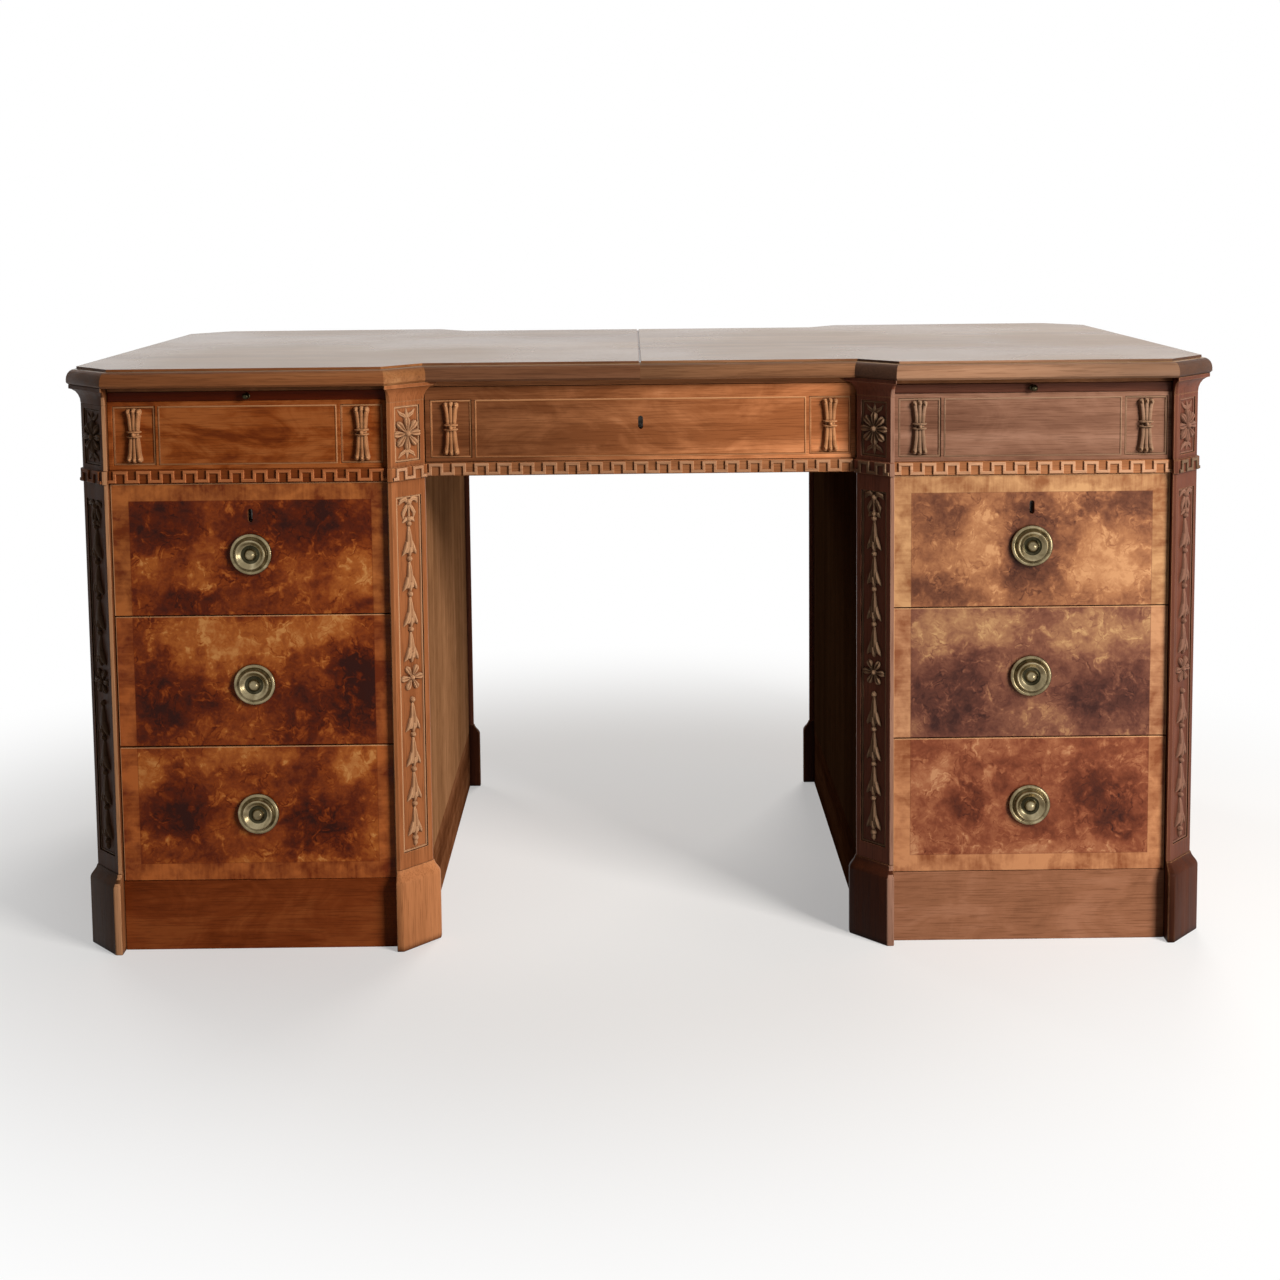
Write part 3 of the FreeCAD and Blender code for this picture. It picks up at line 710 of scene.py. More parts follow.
# Pedestal side and back panels
# Thin walnut panels let into the posts, veneered with the grain upright. The inner ones line the
# kneehole and the back ones close the drawer stacks.
panel_tones = ((0.135, 0.054, 0.020), (0.225, 0.096, 0.038), (0.325, 0.150, 0.066))
# The kneehole lining is lighter at the left and much darker at the right: painted light and shade.
lining_tones = ((0.188, 0.085, 0.036), (0.243, 0.113, 0.050), (0.303, 0.147, 0.068))
lining_painted_light = (-0.20, 0.20, 1.12, 0.18)
panel_finishes = [
    walnut("outside_walnut", "z", panel_tones, 6.3, shine=0.10, cloudy=0.55),
    walnut("kneehole_walnut", "z", lining_tones, 6.3, shine=0.0, fade=lining_painted_light, cloudy=0.3),
]
thin_arris = 0.0005


def panel_part(face):
    """The second finish of the panels is for those that line the kneehole."""
    return int(abs(face.calc_center_median().x) < kneehole_edge)


for side in sides:
    for node in (side + "_pedestal_side_panels", side + "_pedestal_back_panel"):
        finish_node(node, "carcass", panel_finishes, thin_arris, panel_part)


# Boards, rails and runners inside the pedestals
# The carcass boards and the runners and guides that the drawers slide on are of plain secondary
# wood. The rails under each drawer are walnut. They show when a drawer is open.
def plain_wood(name, along, dark, light, seed):
    """Unpolished secondary wood: pale, open in the grain and a little dusty with age."""
    finish = Finish(name)
    grain = finish.stretch(grain_squeeze[along], (seed, seed, seed))
    rings = finish.noise(grain, 46.0, 4.0, 0.6, 0.8)
    fibres = finish.noise(grain, 420.0, 2.0, 0.6)
    age = finish.noise(finish.place, 5.0, 3.0, 0.5)
    colour = finish.ramp(finish.blend(rings, 0.7, fibres), (0.36, 0.64), (dark, light))
    colour = finish.mix(finish.span(age, 0.4, 0.75, 0.0, 0.4), colour, (0.20, 0.13, 0.075))
    finish.set("Base Color", colour)
    finish.set("Roughness", finish.span(fibres, 0.3, 0.7, 0.58, 0.78))
    finish.relief(fibres, 0.2, 0.0003)
    return finish.material


plain_tones = ((0.30, 0.19, 0.10), (0.50, 0.36, 0.21))
box_wood = [plain_wood("box_wood_" + axis, axis, *plain_tones, 2.2) for axis in "xyz"]
inside_arris = 0.0004
for side in sides:
    for node in (side + "_pedestal_boards", side + "_drawer_runners"):
        finish_node(node, "carcass", box_wood, inside_arris)
    finish_node(side + "_drawer_rails", "carcass", plinth_walnut[side], inside_arris)


# Drawer boxes
# Each box is two sides, a back and a bottom of secondary wood, with the bottom slid into grooves.
# The sides are lap-dovetailed into the front, and their tails show in its ends.
tail_count = 5
tail_length = 0.0135
tail_root = 0.27
tail_tip = 0.37
tail_proud = 0.00012
tail_sink = 0.0003


def dovetail(pitch, hand):
    """One tail on the end of a drawer front, flared towards the face, standing to -Y."""
    tail = bmesh.new()
    outline = [(0.0, -tail_root), (tail_length, -tail_tip), (tail_length, tail_tip), (0.0, tail_root)]
    back = [tail.verts.new((-hand * x, tail_sink, share * pitch)) for x, share in outline]
    face = [tail.verts.new((-hand * x, -tail_proud, share * pitch)) for x, share in outline]
    tail.faces.new(back)
    tail.faces.new(face[::-1])
    for i in range(4):
        tail.faces.new((back[i], back[i - 1], face[i - 1], face[i]))
    return tail


pedestal_drawers = [f"{side}_drawer_{number}" for side in sides for number in (1, 2, 3)]
for body in pedestal_drawers:
    finish_node(body + "_box", body, box_wood, thin_arris)
    front_low, front_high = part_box(body + "_front")
    box_low, box_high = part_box(body + "_box")
    pitch = (box_high.z - box_low.z) / tail_count
    tails = bmesh.new()
    for hand, end in ((-1, front_low.x), (1, front_high.x)):
        motif = loose_object(dovetail(pitch, hand), "dovetail")
        row = grown(row_tree, motif, tail_count, box_wood[1], Pitch=(0.0, 0.0, pitch))
        root = Matrix.Translation((end, front_high.y, box_low.z + pitch / 2))
        add_shape(tails, row, root @ Matrix.Rotation(hand * math.pi / 2, 4, "Z"))
        row.free()
    settle(as_carving(tails), body + "_dovetails", body, box_wood[1:2])
finish_node("centre_drawer_box", "centre_drawer", box_wood, thin_arris)


# Drawer fronts
# Solid walnut fronts faced with burr veneer, dark heart and golden clouds in each leaf. One golden
# crossband runs round the whole stack of three, with a thin line at its inner edge.
stack_half = 0.1822
stack_low = 0.0958
stack_high = 0.6322
crossband = 0.023
line_half = 0.0005
# The pale line along the top and side edges of the fronts: partly real wear, partly painted highlight.
wear_and_highlight_width = 0.0013
wear_and_highlight_arris = (0.62, 0.34, 0.17)
burr_stops = (0.06, 0.28, 0.48, 0.68, 0.90)
burr_sway = 0.09


def burr_veneer(body, middle, seed, base, marks, tones, band_tones):
    """Burr walnut with a crossband. marks are the clouds of the figure, each (across, up, half
    width, half height, how much lighter), as shares of the front, and base is its general tone."""
    low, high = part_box(body + "_front")
    wide, tall = high.x - low.x, high.z - low.z
    finish = Finish(body + "_burr_walnut")
    place = finish.stretch((1.0, 1.0, 1.0), (seed, seed * 0.7, seed * 1.3))
    sway = finish.node("ShaderNodeVectorMath", operation="MULTIPLY_ADD")
    finish.feed(sway.inputs[0], finish.noise(place, 16.0, 4.0, 0.6, 0.0, "Color"))
    sway.inputs[1].default_value = (burr_sway, 0.0, burr_sway)
    finish.feed(sway.inputs[2], finish.stretch((1.0, 1.0, 1.0), (-burr_sway / 2, 0.0, -burr_sway / 2)))
    swayed = sway.outputs["Vector"]
    clouds = finish.noise(place, 20.0, 4.0, 0.55, 0.5)
    curls = finish.noise(place, 55.0, 3.0, 0.6, 0.4)
    flecks = finish.noise(place, 125.0, 2.0, 0.55, 1.2)
    specks = finish.noise(place, 230.0, 2.0, 0.6)
    tone = base
    for figure, amount in ((clouds, 0.58), (curls, 0.66), (flecks, 0.20), (specks, 0.13)):
        tone = finish.lift(tone, figure, amount)
    for scale, width, amount in ((26.0, 0.050, 0.20), (38.0, 0.036, -0.19), (64.0, 0.040, -0.11)):
        swirl = finish.noise(swayed, scale, 1.5, 0.5, 0.6)
        vein = finish.span(finish.away(swirl, 0.5), 0.0, width, amount, 0.0)
        tone = finish.maths("ADD", tone, finish.maths("MULTIPLY", vein, finish.span(curls, 0.42, 0.62)))
    for across, up, half_width, half_height, amount in marks:
        near = finish.node("ShaderNodeVectorMath", operation="LENGTH")
        size = (1.0 / (half_width * wide), 0.0, 1.0 / (half_height * tall))
        spot = (low.x + across * wide, 0.0, low.z + up * tall)
        shift = tuple(-at * scale for at, scale in zip(spot, size))
        finish.feed(near.inputs[0], finish.stretch(size, shift, swayed))
        tone = finish.maths("ADD", tone, finish.span(near.outputs["Value"], 0.35, 1.15, 0.92 * amount, 0.0))
    colour = finish.ramp(tone, burr_stops, tones)
    height = finish.axis("Z")
    side_gap = finish.maths("SUBTRACT", stack_half, finish.away(finish.axis("X"), middle))
    top_gap = finish.maths("SUBTRACT", stack_high, height)
    end_gap = finish.maths("MINIMUM", top_gap, finish.maths("SUBTRACT", height, stack_low))
    gap = finish.maths("MINIMUM", side_gap, end_gap)
    side_lines = finish.noise(finish.stretch((0.10, 1.0, 1.0), (seed, 0.0, 0.0)), 210.0, 4.0, 0.6)
    end_lines = finish.noise(finish.stretch((1.0, 1.0, 0.10), (seed, 0.0, 0.0)), 210.0, 4.0, 0.6)
    lines = finish.node("ShaderNodeMix", data_type="FLOAT")
    finish.feed(lines.inputs[0], finish.maths("LESS_THAN", side_gap, end_gap))
    finish.feed(lines.inputs[2], end_lines)
    finish.feed(lines.inputs[3], side_lines)
    shade = 0.5
    for figure, amount in ((lines.outputs[0], 0.55), (clouds, 1.6), (curls, 0.6), (tone, 0.25)):
        shade = finish.lift(shade, figure, amount)
    band = finish.ramp(shade, (0.20, 0.76), band_tones)
    colour = finish.mix(finish.span(gap, crossband - line_half, crossband + line_half), band, colour)
    line = finish.maths("LESS_THAN", finish.away(gap, crossband), line_half)
    colour = finish.mix(finish.maths("MULTIPLY", line, 0.4), colour, tones[1])
    # A pale line along the top and side edges of each front: partly real wear, partly painted highlight.
    upper_gap = finish.maths("SUBTRACT", high.z, height)
    arris = finish.maths("LESS_THAN", finish.maths("MINIMUM", side_gap, upper_gap), wear_and_highlight_width)
    colour = finish.mix(finish.maths("MULTIPLY", arris, 0.6), colour, wear_and_highlight_arris)
    finish.set("Base Color", colour)
    finish.set("Roughness", finish.span(curls, 0.3, 0.7, 0.26, 0.38))
    finish.set("Specular IOR Level", 0.10)
    finish.relief(specks, 0.06, 0.0003)
    return finish.material


red_tones = (
    (0.032, 0.005, 0.002), (0.115, 0.016, 0.003), (0.255, 0.050, 0.009), (0.430, 0.120, 0.024),
    (0.620, 0.265, 0.080),
)
gold_tones = (
    (0.050, 0.018, 0.012), (0.138, 0.050, 0.027), (0.260, 0.101, 0.047), (0.395, 0.172, 0.076),
    (0.560, 0.282, 0.132),
)
plum_tones = (
    (0.044, 0.016, 0.013), (0.113, 0.039, 0.026), (0.205, 0.080, 0.047), (0.340, 0.163, 0.080),
    (0.500, 0.285, 0.132),
)
fire_tones = (
    (0.038, 0.011, 0.008), (0.112, 0.027, 0.013), (0.210, 0.058, 0.027), (0.330, 0.117, 0.054),
    (0.490, 0.232, 0.115),
)
crossband_tones = {
    "left": ((0.152, 0.026, 0.005), (0.446, 0.129, 0.031)),
    "right": ((0.245, 0.085, 0.036), (0.530, 0.264, 0.128)),
}
crossband_tints = {
    "left": ((1.05, 1.14, 1.20), (1.00, 0.93, 0.95), (1.08, 1.03, 1.03)),
    "right": ((1.05, 1.14, 1.08), (1.00, 1.00, 1.03), (0.97, 0.86, 0.80)),
}
burr_leaves = {
    "left_drawer_1": (0.40, red_tones, (
        (0.18, 0.72, 0.16, 0.30, -0.22), (0.30, 0.45, 0.10, 0.34, 0.22), (0.50, 0.55, 0.14, 0.42, -0.14),
        (0.72, 0.72, 0.22, 0.28, -0.26), (0.87, 0.28, 0.10, 0.26, 0.34), (0.28, 0.10, 0.15, 0.13, -0.24),
        (0.66, 0.22, 0.14, 0.20, 0.16), (0.14, 0.30, 0.10, 0.22, 0.14),
    )),
    "left_drawer_2": (0.40, red_tones, (
        (0.34, 0.82, 0.30, 0.24, 0.34), (0.74, 0.88, 0.22, 0.18, 0.32), (0.50, 0.62, 0.14, 0.20, 0.22),
        (0.88, 0.44, 0.12, 0.42, -0.34), (0.18, 0.34, 0.20, 0.34, -0.24), (0.70, 0.24, 0.16, 0.26, -0.20),
        (0.42, 0.14, 0.16, 0.22, 0.10),
    )),
    "left_drawer_3": (0.44, red_tones, (
        (0.44, 0.92, 0.28, 0.13, 0.30), (0.85, 0.86, 0.09, 0.16, 0.34), (0.07, 0.80, 0.08, 0.22, 0.22),
        (0.22, 0.48, 0.17, 0.26, -0.32), (0.72, 0.42, 0.14, 0.28, -0.36), (0.46, 0.30, 0.12, 0.26, 0.06),
        (0.55, 0.08, 0.50, 0.10, 0.22), (0.94, 0.45, 0.08, 0.40, 0.14),
    )),
    "right_drawer_1": (0.56, gold_tones, (
        (0.50, 0.46, 0.15, 0.52, -0.44), (0.15, 0.70, 0.14, 0.28, -0.24), (0.34, 0.52, 0.10, 0.42, 0.20),
        (0.82, 0.78, 0.20, 0.22, -0.30), (0.78, 0.30, 0.20, 0.28, 0.28), (0.16, 0.12, 0.18, 0.18, -0.28),
    )),
    "right_drawer_2": (0.42, plum_tones, (
        (0.28, 0.84, 0.26, 0.26, 0.30), (0.76, 0.82, 0.24, 0.24, 0.32), (0.20, 0.32, 0.22, 0.34, -0.26),
        (0.78, 0.32, 0.20, 0.34, -0.26), (0.52, 0.18, 0.16, 0.22, 0.06),
    )),
    "right_drawer_3": (0.50, fire_tones, (
        (0.28, 0.52, 0.10, 0.22, -0.26), (0.78, 0.48, 0.18, 0.32, -0.28), (0.12, 0.66, 0.10, 0.30, 0.18),
        (0.06, 0.20, 0.08, 0.22, 0.26), (0.62, 0.14, 0.34, 0.12, 0.20), (0.48, 0.92, 0.40, 0.12, 0.12),
    )),
}
core_tones = ((0.085, 0.030, 0.011), (0.140, 0.052, 0.020), (0.200, 0.082, 0.034))
core_walnut = walnut("front_core_walnut", "x", core_tones, 4.8)
front_arris = 0.0008
veneer_tilt = -0.2


def front_part(face):
    """The veneer is on the face of a front and its arrises, and the second finish is the core's."""
    return int(face.normal.y > veneer_tilt)


for side, hand in (("left", -1), ("right", 1)):
    for number, tints in enumerate(crossband_tints[side], 1):
        body = f"{side}_drawer_{number}"
        base, tones, marks = burr_leaves[body]
        band = [[part * tint for part, tint in zip(tone, tints)] for tone in crossband_tones[side]]
        burr = burr_veneer(body, hand * stack_middle, 2.7 * number + hand, base, marks, tones, band)
        finish_node(body + "_front", body, [burr, core_walnut], front_arris, front_part)


# Drawer knobs
# Turned brass: a rose with a rolled rim, in it a raised ring round a dished hollow, and a domed
# button in the middle. The shank goes through the front and a nut holds it inside.
def aged_brass(name, tones):
    """Old brass, olive where it has dulled and bright where hands rub it, darker in its hollows from dirt and
    painted shade.
    """
    finish = Finish(name)
    patches = finish.noise(finish.place, 60.0, 5.0, 0.6, 0.6)
    specks = finish.noise(finish.place, 900.0, 2.0, 0.6)
    colour = finish.ramp(patches, (0.35, 0.55, 0.75), tones)
    # Darker in the hollows: dirt, and painted shade.
    dirt_and_shade = finish.span(finish.openness(0.005), 0.15, 0.80, 0.85, 0.0)
    finish.set("Base Color", finish.mix(dirt_and_shade, colour, (0.040, 0.030, 0.017)))
    finish.set("Metallic", 1.0)
    finish.set("Roughness", finish.span(patches, 0.3, 0.75, 0.24, 0.36))
    finish.relief(specks, 0.10, 0.0002)
    return finish.material


def turned(shape, centre, profile, steps=72):
    """A turning about a line along Y. profile is (radius, distance in front of the face), back to front."""
    rings = []
    for radius, reach in profile:
        ring = []
        for j in range(steps if radius > 0 else 1):
            swing = math.tau * j / steps
            x, z = centre.x + radius * math.cos(swing), centre.z + radius * math.sin(swing)
            ring.append(shape.verts.new((x, centre.y - reach, z)))
        rings.append(ring)
    for a, b in zip(rings, rings[1:]):
        for j in range(steps):
            corners = [a[j % len(a)], a[(j + 1) % len(a)], b[(j + 1) % len(b)], b[j % len(b)]]
            shape.faces.new(list(dict.fromkeys(corners)))


def rolled(radius, reach, tube, start, stop, count=8):
    """Points of a rolled rim or ring: an arc of a round section, in degrees from straight out."""
    turns = [math.radians(start + (stop - start) * i / count) for i in range(count + 1)]
    return [(radius + tube * math.cos(t), reach + tube * math.sin(t)) for t in turns]


def knob_centre(knob, front):
    """Where the line of a knob meets the face of its front."""
    low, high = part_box(knob)
    return Vector(((low.x + high.x) / 2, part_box(front)[0].y, (low.z + high.z) / 2))


brass = aged_brass("aged_brass", ((0.163, 0.126, 0.068), (0.284, 0.229, 0.130), (0.47, 0.395, 0.248)))
# dark_brass is a darker copy of the brass, for the ring round the button and for the slide knobs: painted
# shade.
dark_brass = aged_brass("dark_brass", ((0.020, 0.017, 0.008), (0.040, 0.034, 0.018), (0.078, 0.068, 0.038)))
painted_shade_ring = (0.0078, 0.0130)
nut_radius = 0.007
nut_height = 0.004
knob_profile = (
    [(0.0, -0.024), (0.003, -0.024), (0.003, 0.0)]
    + rolled(0.0247, 0.0030, 0.0030, -90, 135, 14)
    + [(0.0216, 0.0048), (0.0208, 0.0056), (0.0203, 0.0078), (0.0198, 0.0095), (0.0192, 0.0103)]
    + [(0.0184, 0.0105), (0.0176, 0.0101), (0.0164, 0.0091), (0.0151, 0.0080), (0.0138, 0.0071)]
    + [(0.0124, 0.0064), (0.0111, 0.0060), (0.0099, 0.0058), (0.0088, 0.0060), (0.0080, 0.0066)]
    + rolled(0.0, 0.0050, 0.0079, 18, 90, 8)[:-1]
    + [(0.0, 0.0129)]
)
for body in pedestal_drawers:
    centre = knob_centre(body + "_knob", body + "_front")
    knob = bmesh.new()
    turned(knob, centre, knob_profile)
    for face in knob.faces:
        spot = face.calc_center_median() - centre
        face.material_index = int(painted_shade_ring[0] < math.hypot(spot.x, spot.z) < painted_shade_ring[1])
    nut = bmesh.new()
    bmesh.ops.create_cone(
        nut, cap_ends=True, segments=6, radius1=nut_radius, radius2=nut_radius, depth=nut_height
    )
    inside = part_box(body + "_front")[1].y
    nut_place = Matrix.Translation((centre.x, inside + nut_height / 2, centre.z))
    add_shape(knob, nut, nut_place @ Matrix.Rotation(math.pi / 2, 4, "X"))
    nut.free()
    settle(as_carving(knob), body + "_knob_turned", body, [brass, dark_brass], (body + "_knob",))


# Drawer locks
# Steel box locks let into the backs of the two top drawers and the centre drawer, behind the
# keyholes. No key is in them.
def lock_steel(name):
    """Dull steel with brown specks of age."""
    finish = Finish(name)
    stains = finish.noise(finish.place, 90.0, 5.0, 0.65)
    scratches = finish.noise(finish.stretch((1.0, 1.0, 0.06)), 500.0, 2.0, 0.5)
    finish.set("Base Color", finish.ramp(stains, (0.40, 0.62), ((0.16, 0.145, 0.125), (0.33, 0.32, 0.30))))
    finish.set("Metallic", 1.0)
    finish.set("Roughness", finish.span(stains, 0.35, 0.7, 0.62, 0.36))
    finish.relief(scratches, 0.1, 0.0002)
    return finish.material


steel = lock_steel("lock_steel")
lock_arris = 0.0003
for body in ("left_drawer_1", "right_drawer_1", "centre_drawer"):
    finish_node(body + "_lock", body, [steel], lock_arris)


# Frieze posts, their capitals and their carving
# Short canted posts of the frieze unit over the pedestal posts, each with a proud band at the foot
# for the key fret, a sunk panel with a carved rosette between two sprigs, and a cavetto capital.
# The same lit and painted-shade copies as the pedestal posts, with painted light on the front faces at the
# left corners.
for node in ("frieze_posts", "post_capitals"):
    finish_node(node, "carcass", posts + painted_light_strips, part=upright_part)
frieze_panel_low = 0.657
frieze_panel_high = 0.731
rosette_height = 0.694
sprig_start = Matrix.Translation((0.0, 0.0, 0.0195))
upside_down = Matrix.Rotation(math.pi, 4, "Y")
large_rosette = rosette(0.0185, 0.0050, 8, 0.0070)
sprig = bmesh.new()
sprig_stem = [(0.0, z) for z in (0.0, 0.007, 0.0145)]
carved_run(sprig, sprig_stem, (0.0014, 0.0026, 0.0004), (0.002, 0.0038, 0.001), 0.35)
sprig_leaf = ((0.001, 0.001), (0.005, 0.005), (0.0095, 0.007), (0.014, 0.0125))
for hand in (-1, 1):
    carved_run(
        sprig,
        [(hand * x, z) for x, z in sprig_leaf],
        (0.0012, 0.0028, 0.0026, 0.0004),
        (0.002, 0.0036, 0.003, 0.001),
        0.35,
    )
frieze_bead = bmesh.new()
bead_frame(frieze_bead, -panel_half, panel_half, frieze_panel_low, frieze_panel_high, bead_size)
as_carving(frieze_bead)
for side in sides:
    carving = bmesh.new()
    for placing in post_faces(side + "_pedestal_posts", panel_depth):
        middle = placing @ Matrix.Translation((0.0, 0.0, rosette_height))
        add_shape(carving, large_rosette, middle)
        add_shape(carving, sprig, middle @ sprig_start)
        add_shape(carving, sprig, middle @ upside_down @ sprig_start)
        add_shape(carving, frieze_bead, placing)
    # Lit and painted-shade copies of the carving walnut, as on the pedestal posts.
    name = side + "_frieze_post_carving"
    settle(as_carving(carving), name, "carcass", carving_walnut[side], part=carving_part)
for shape in (large_rosette, sprig, frieze_bead):
    shape.free()


# Frieze panels over the pedestals
# Fixed fronts of straight-grained figured walnut. At each end a sunk panel holds a carved sheaf of
# reeds, tied at the waist, inside a bead, and a thin bead frames the plain middle.
# The left's darker, redder tones and the right's paler, greyer ones are painted light: the right's paleness
# is a painted sheen.
frieze_tones = {
    "left": ((0.150, 0.028, 0.005), (0.260, 0.060, 0.011), (0.370, 0.108, 0.027)),
    "centre": ((0.172, 0.056, 0.019), (0.285, 0.106, 0.041), (0.392, 0.165, 0.072)),
    "right": ((0.150, 0.066, 0.039), (0.232, 0.112, 0.069), (0.315, 0.165, 0.108)),
}
frieze_clouds = {"left": 1.1, "centre": 0.45, "right": 0.4}
frieze_seeds = {"left": 3.0, "centre": 5.6, "right": 7.0}
sheaf_half = 0.0365
tie_height = 0.002
lobe_steps = (0.0, 0.10, 0.24, 0.42, 0.60, 0.76, 0.88, 0.96, 1.0)
lobe_swell = (0.72, 0.80, 0.95, 1.0, 0.96, 0.98, 1.10, 0.92, 0.30)
lobe_width = 0.0036
lobe_rise = 0.0068
tie_span = (-0.0094, -0.0066, 0.0, 0.0066, 0.0094)


def carved_sheaf():
    """A sheaf of three stout reeds with curled ends, tied at the waist with two rings and a boss."""
    shape = bmesh.new()
    widths = [lobe_width * swell for swell in lobe_swell]
    rises = [lobe_rise * swell for swell in lobe_swell]
    for end in (-sheaf_half, sheaf_half):
        for reed in (-1, 0, 1):
            reach = end * (1.0 - 0.03 * abs(reed)) - tie_height
            spine = [(reed * (0.0040 + 0.0036 * t ** 2.2), tie_height + reach * t) for t in lobe_steps]
            carved_run(shape, spine, widths, rises, 0.12)
            carved_boss(shape, spine[-3][0], spine[-3][1], 0.0031, 0.0090, 10, 4)
    for step in (-0.0030, 0.0030):
        carved_run(
            shape,
            [(x, tie_height + step) for x in tie_span],
            (0.0010, 0.0019, 0.0021, 0.0019, 0.0010),
            (0.0040, 0.0080, 0.0092, 0.0080, 0.0040),
        )
    carved_boss(shape, 0.0, tie_height, 0.0040, 0.0108)
    return as_carving(shape)


sheaf = carved_sheaf()
end_panel_half = 0.028
end_panel_low = 0.657
end_panel_high = 0.735
end_panel_bead = 0.0017
field_bead = 0.0013
field_rise = 0.9
field_margin = end_panel_half + 0.004


def dress_frieze(node, body, name, panels, finish):
    """Sheaves in beads at two places on a frieze front or the centre drawer's front, and between them
    the bead round the field."""
    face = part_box(node)[0].y
    sunk = bmesh.new()
    bead_frame(sunk, -end_panel_half, end_panel_half, end_panel_low, end_panel_high, end_panel_bead)
    add_shape(sunk, sheaf, Matrix.Translation((0.0, 0.0, (end_panel_low + end_panel_high) / 2)))
    carving = bmesh.new()
    for x in panels:
        add_shape(carving, sunk, Matrix.Translation((x, face + panel_depth, 0.0)))
    sunk.free()
    field = bmesh.new()
    left, right = min(panels) + field_margin, max(panels) - field_margin
    bead_frame(field, left, right, end_panel_low, end_panel_high, field_bead, field_rise)
    add_shape(carving, field, Matrix.Translation((0.0, face, 0.0)))
    field.free()
    settle(as_carving(carving), name, body, [finish])


# The right sheaves take a darker copy: painted shade.
sheaf_tones = ((0.230, 0.078, 0.025), (0.370, 0.145, 0.055), (0.500, 0.230, 0.100))
shaded_sheaf_tones = ((0.125, 0.062, 0.036), (0.205, 0.108, 0.066), (0.290, 0.165, 0.106))
sheaf_walnut = walnut("sheaf_walnut", "x", sheaf_tones, 2.9, "relief")
shaded_sheaf = walnut("shaded_sheaf_walnut", "x", shaded_sheaf_tones, 2.9, "relief", wear_and_highlight=shaded_wear_and_highlight)
frieze_sheaves = (("left", (-0.366, -0.664), sheaf_walnut), ("right", (0.366, 0.664), shaded_sheaf))
for side, panels, finish in frieze_sheaves:
    frieze_walnut = walnut(
        side + "_frieze_walnut", "x", frieze_tones[side], frieze_seeds[side], cloudy=frieze_clouds[side]
    )
    node = side + "_frieze_panel"
    finish_node(node, "carcass", [frieze_walnut])
    dress_frieze(node, "carcass", side + "_frieze_carving", panels, finish)


# The other walls of the frieze unit
# End panels, the partitions beside the kneehole, the rear panels and the thin rails over the
# slides: plain walnut, glued and tongued between the posts.
wall_tones = ((0.135, 0.050, 0.019), (0.225, 0.090, 0.036), (0.325, 0.145, 0.064))
wall_walnut = by_grain("wall_walnut", wall_tones, 8.2, 0.6)
for node in ("frieze_end_panels", "frieze_partitions", "rear_frieze_panels", "frieze_top_rails"):
    finish_node(node, "carcass", wall_walnut)


# Key mouldings and their fret
# A band under the frieze on every side, carved with a plain key fret: one raised ridge that turns
# square, up and down, the whole way round.
# The front of the left pedestal takes darker, redder copies: painted light.
key_tones = ((0.205, 0.078, 0.030), (0.300, 0.116, 0.046), (0.385, 0.161, 0.069))
left_key_tones = ((0.120, 0.024, 0.005), (0.180, 0.042, 0.009), (0.250, 0.068, 0.018))
key_ground = by_grain("key_ground", key_tones, 3.3) + by_grain("left_key_ground", left_key_tones, 3.3)
for node in ("key_mouldings", "centre_rails"):
    finish_node(node, "carcass", key_ground)
fret_low = 0.6340
fret_height = 0.0160
fret_stroke = 0.0042
fret_rise = 0.0022
fret_ease = 0.0007


def fret_unit(pitch):
    """One repeat of the fret, open at its two ends so that repeats join."""
    s, h = fret_stroke, fret_height
    g = pitch / 2 - s
    b = g / 2
    outline = [(0, 0), (b + s, 0), (b + s, h - s), (b + s + g, h - s), (b + s + g, 0), (pitch, 0)]
    outline += [(pitch, s), (b + 2 * s + g, s), (b + 2 * s + g, h), (b, h), (b, s), (0, s)]
    runs = list(zip(outline, outline[1:] + outline[:1]))
    joints = [start[0] == stop[0] and start[0] in (0, pitch) for start, stop in runs]
    shape = bmesh.new()
    levels = []
    for y, ease in ((carving_bed, 0.0), (-fret_rise + fret_ease, 0.0), (-fret_rise, fret_ease)):
        loop = []
        for i, (x, z) in enumerate(outline):
            shift = Vector((0.0, 0.0))
            for k in (i - 1, i):
                start, stop = runs[k]
                run = Vector((stop[0] - start[0], stop[1] - start[1])).normalized()
                shift += Vector((0.0, 0.0)) if joints[k] else Vector((-run.y, run.x)) * ease
            loop.append(shape.verts.new((x + shift.x, y, z + shift.y)))
        levels.append(loop)
    for lower, upper in zip(levels, levels[1:]):
        for i, joint in enumerate(joints):
            if not joint:
                k = (i + 1) % len(outline)
                shape.faces.new((lower[i], lower[k], upper[k], upper[i]))
    shape.faces.new(levels[-1])
    shape.faces.new(levels[0][::-1])
    return shape


def fret_row(count, length):
    """A run of the fret, centred, closed at its ends."""
    pitch = length / count
    motif = loose_object(fret_unit(pitch), "fret_unit")
    row = grown(row_tree, motif, count, fret_walnut, Pitch=(pitch, 0.0, 0.0))
    bmesh.ops.translate(row, vec=(-length / 2, 0.0, fret_low), verts=row.verts)
    bmesh.ops.holes_fill(row, edges=row.edges)
    bmesh.ops.recalc_face_normals(row, faces=row.faces)
    for face in row.faces:
        face.smooth = False
    return row


fret_seed = 7.7
